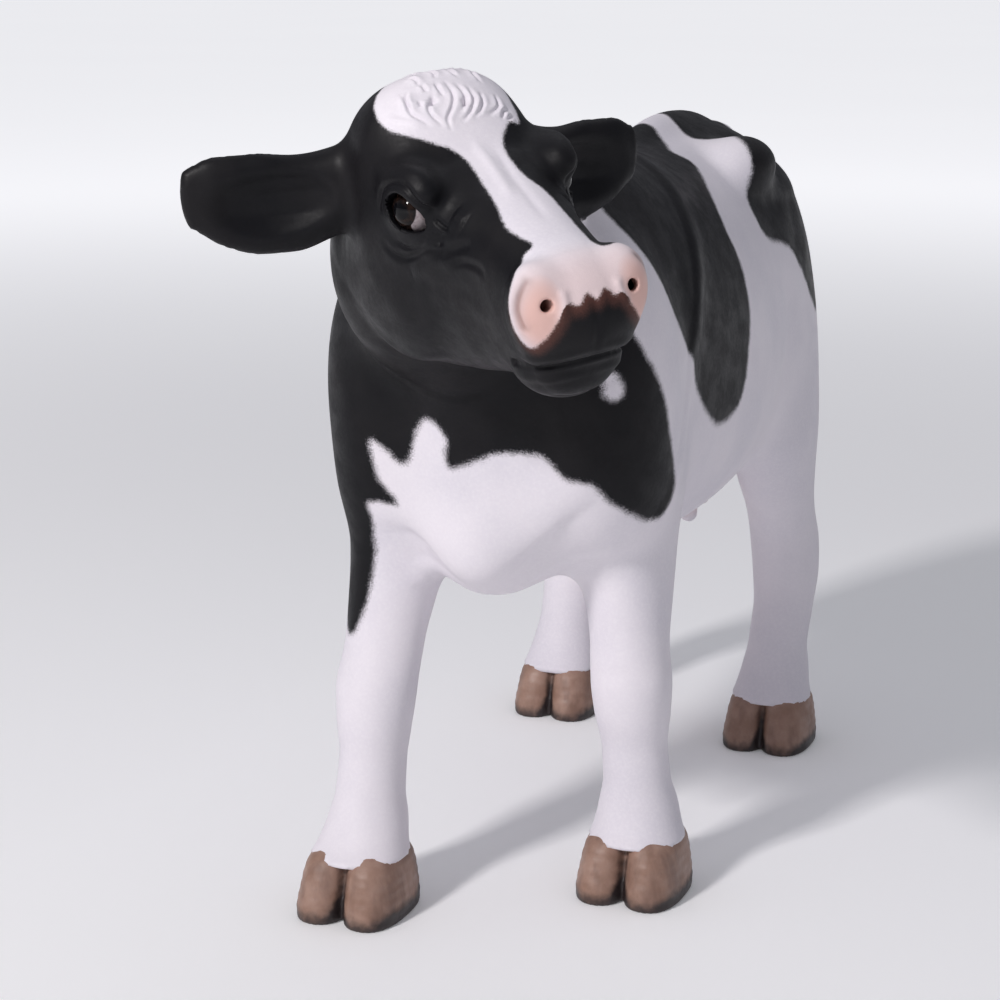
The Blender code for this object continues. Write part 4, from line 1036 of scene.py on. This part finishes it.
hide = make_mesh("cow_skin", V, T, {"ink": ink, "edge_softness": edge_softness, "pink": pink, "brown": brown, "warm": warm})
hide.data.materials.append(hide_paint())
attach(hide, "root")
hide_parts("trunk", "neck", "head", "ear_left", "ear_right", "front_leg_left", "front_leg_right", "hind_leg_left", "hind_leg_right", "tail", "tail_switch", "udder")

HOOF_PAINT = hoof_paint()
for which in FEET:
    field = hoof_field(which)
    x, y = FEET[which]
    HV, HT = sculpt(field, (x - 9, y - 9.5, -1.2), (x + 9, y + 10, 9.6), 0.32)
    HV = settle(field, relax(HV, HT, 2, 0.4), 2, 0.15)
    HV[:, 2] = np.where(HV[:, 2] < 0.06, 0.0, HV[:, 2])
    # growth rings round the wall
    n = vertex_normals(HV, HT)
    wall = smoothstep(0.5, 1.5, HV[:, 2]) * (1 - smoothstep(6.2, 7.2, HV[:, 2])) * (1 - np.abs(n[:, 2]))
    HV = HV + n * (0.035 * np.sin(HV[:, 2] * 5.2 + 0.4 * np.sin(HV[:, 0])) * wall)[:, None]
    # darker at the ground, which is the hoof's own dark paint, with painted shade in the cleft; darker also round the
    # heel and at the sides
    cleft = np.exp(-(((HV[:, 0] - x) / 0.75) ** 2)) * smoothstep(2.0, 5.0, np.abs(HV[:, 1] - y))
    low_ = 1 - smoothstep(0.0, 3.6, HV[:, 2] + 0.35 * np.abs(HV[:, 0] - x) * 0.2)
    heel = smoothstep(1.0, 6.5, HV[:, 1] - y) * 0.45
    rim = smoothstep(4.2, 6.4, np.abs(HV[:, 0] - x)) * 0.5
    dark_paint_and_shade = np.clip(0.85 * low_ + cleft + heel + rim * (0.4 + low_), 0, 1.4)
    name = which.split("_")[0] + "_hoof_" + which.split("_")[1]
    hoof = make_mesh(name + "_painted", HV, HT, {"dark_paint_and_shade": dark_paint_and_shade})
    hoof.data.materials.append(HOOF_PAINT)
    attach(hoof, "root")
    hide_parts(name)


def eye_ball(side):
    """A ball with a slightly proud cornea, painted dark with a pale corner towards the nose."""
    O, n, u, v = eye_axes(side)
    count_u, count_v = 96, 64
    th = np.linspace(0, np.pi, count_v + 1)[1:-1]
    ph = np.linspace(0, 2 * np.pi, count_u, endpoint=False)
    tt, pp = np.meshgrid(th, ph, indexing="ij")
    D = np.stack([np.cos(tt), np.sin(tt) * np.cos(pp), np.sin(tt) * np.sin(pp)], -1).reshape(-1, 3)
    D = np.vstack([[1, 0, 0], D, [-1, 0, 0]])
    rows = count_v - 1
    tri = []
    at = lambda i, j: 1 + i * count_u + j % count_u
    for j in range(count_u):
        tri.append((0, at(0, j), at(0, j + 1)))
        tri.append((len(D) - 1, at(rows - 1, j + 1), at(rows - 1, j)))
        for i in range(rows - 1):
            tri += [(at(i, j), at(i + 1, j), at(i + 1, j + 1)), (at(i, j), at(i + 1, j + 1), at(i, j + 1))]
    cornea = 0.10 * smoothstep(0.72, 0.97, D[:, 0])
    P = O + (D[:, :1] * n + D[:, 1:2] * u + D[:, 2:3] * v) * (EYE_RADIUS + cornea)[:, None]
    tri = np.array(tri)
    a = P[tri[:, 0]]
    if np.einsum("ij,ij->", np.cross(P[tri[:, 1]] - a, P[tri[:, 2]] - a), a - O) < 0:
        tri = tri[:, ::-1]
    uu, vv = D[:, 1] * EYE_RADIUS, D[:, 2] * EYE_RADIUS
    r = np.sqrt((uu + 0.25) ** 2 + (vv - 0.05) ** 2)
    sclera = smoothstep(1.62, 1.8, r) * smoothstep(0.9, 1.2, uu)
    pupil = 1 - smoothstep(0.75, 1.0, np.sqrt(((uu + 0.25) / 1.25) ** 2 + (vv / 0.9) ** 2))
    return P, tri, {"sclera": sclera, "pupil": pupil}


EYE_PAINT = eye_paint()
for side in ("left", "right"):
    P, tri, paint = eye_ball(side)
    ball = make_mesh("eye_" + side + "_glossy", P, tri, paint)
    ball.data.materials.append(EYE_PAINT)
    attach(ball, "root")
    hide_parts("eye_" + side)


# ================================================================ floor, light, camera
def floor_paint():
    m = Nodes("studio_floor")
    m.set("Base Color", m.mix(m.ramp(m.noise(3, 2.0), 0.3, 0.7), (0.86, 0.86, 0.875), (0.885, 0.885, 0.895)))
    m.set("Roughness", 0.75)
    # the floor glows, more with distance from the figure: painted light that keeps the sweep pale up to the horizon
    reach = m.add("ShaderNodeVectorMath", operation="LENGTH")
    m.link(m.coords(), reach.inputs[0])
    m.set("Emission Color", (0.985, 0.985, 1.0, 1.0))
    m.set("Emission Strength", m.ramp(reach.outputs["Value"], 0.16, 0.9, 0.10, 0.62))
    return m.mat


bpy.ops.mesh.primitive_plane_add(size=30.0, location=(0, 0, 0))
floor = bpy.context.object
floor.name = "studio_floor"
floor.data.materials.append(floor_paint())

world = bpy.data.worlds.new("studio")
bpy.context.scene.world = world
world.use_nodes = True
sky = world.node_tree.nodes["Background"]
sky.inputs["Color"].default_value = (0.90, 0.91, 1.0, 1.0)
sky.inputs["Strength"].default_value = 0.27


def light(name, place, target, size, power, colour):
    data = bpy.data.lights.new(name, "AREA")
    data.shape = "RECTANGLE"
    data.size, data.size_y = size
    data.energy = power
    data.color = colour
    obj = bpy.data.objects.new(name, data)
    obj.location = place
    obj.rotation_euler = (Vector(target) - Vector(place)).to_track_quat("-Z", "Y").to_euler()
    bpy.context.scene.collection.objects.link(obj)
    return obj


light("key", (-0.22, -0.60, 0.50), (0.0, -0.04, 0.06), (0.09, 0.11), 3.9, (1.0, 0.965, 0.96))
light("fill", (0.75, -0.75, 0.5), (0.0, 0.0, 0.05), (0.7, 0.7), 0.25, (0.90, 0.93, 1.0))
light("top", (0.0, 0.25, 0.9), (0.0, 0.0, 0.05), (0.8, 0.8), 1.3, (0.95, 0.96, 1.0))

camera_data = bpy.data.cameras.new("camera")
camera_data.lens = 82.8
camera_data.sensor_width = 36.0
camera_data.clip_start = 0.01
camera_data.clip_end = 60.0
camera = bpy.data.objects.new("camera", camera_data)
camera.location = (0.09530, -0.26685, 0.1110)
yaw, dip = math.radians(22.0), math.radians(13.4)
look = Vector((-math.sin(yaw) * math.cos(dip), math.cos(yaw) * math.cos(dip), -math.sin(dip)))
camera.rotation_euler = look.to_track_quat("-Z", "Y").to_euler()
bpy.context.scene.collection.objects.link(camera)
bpy.context.scene.camera = camera
bpy.context.scene.view_settings.view_transform = "Standard"
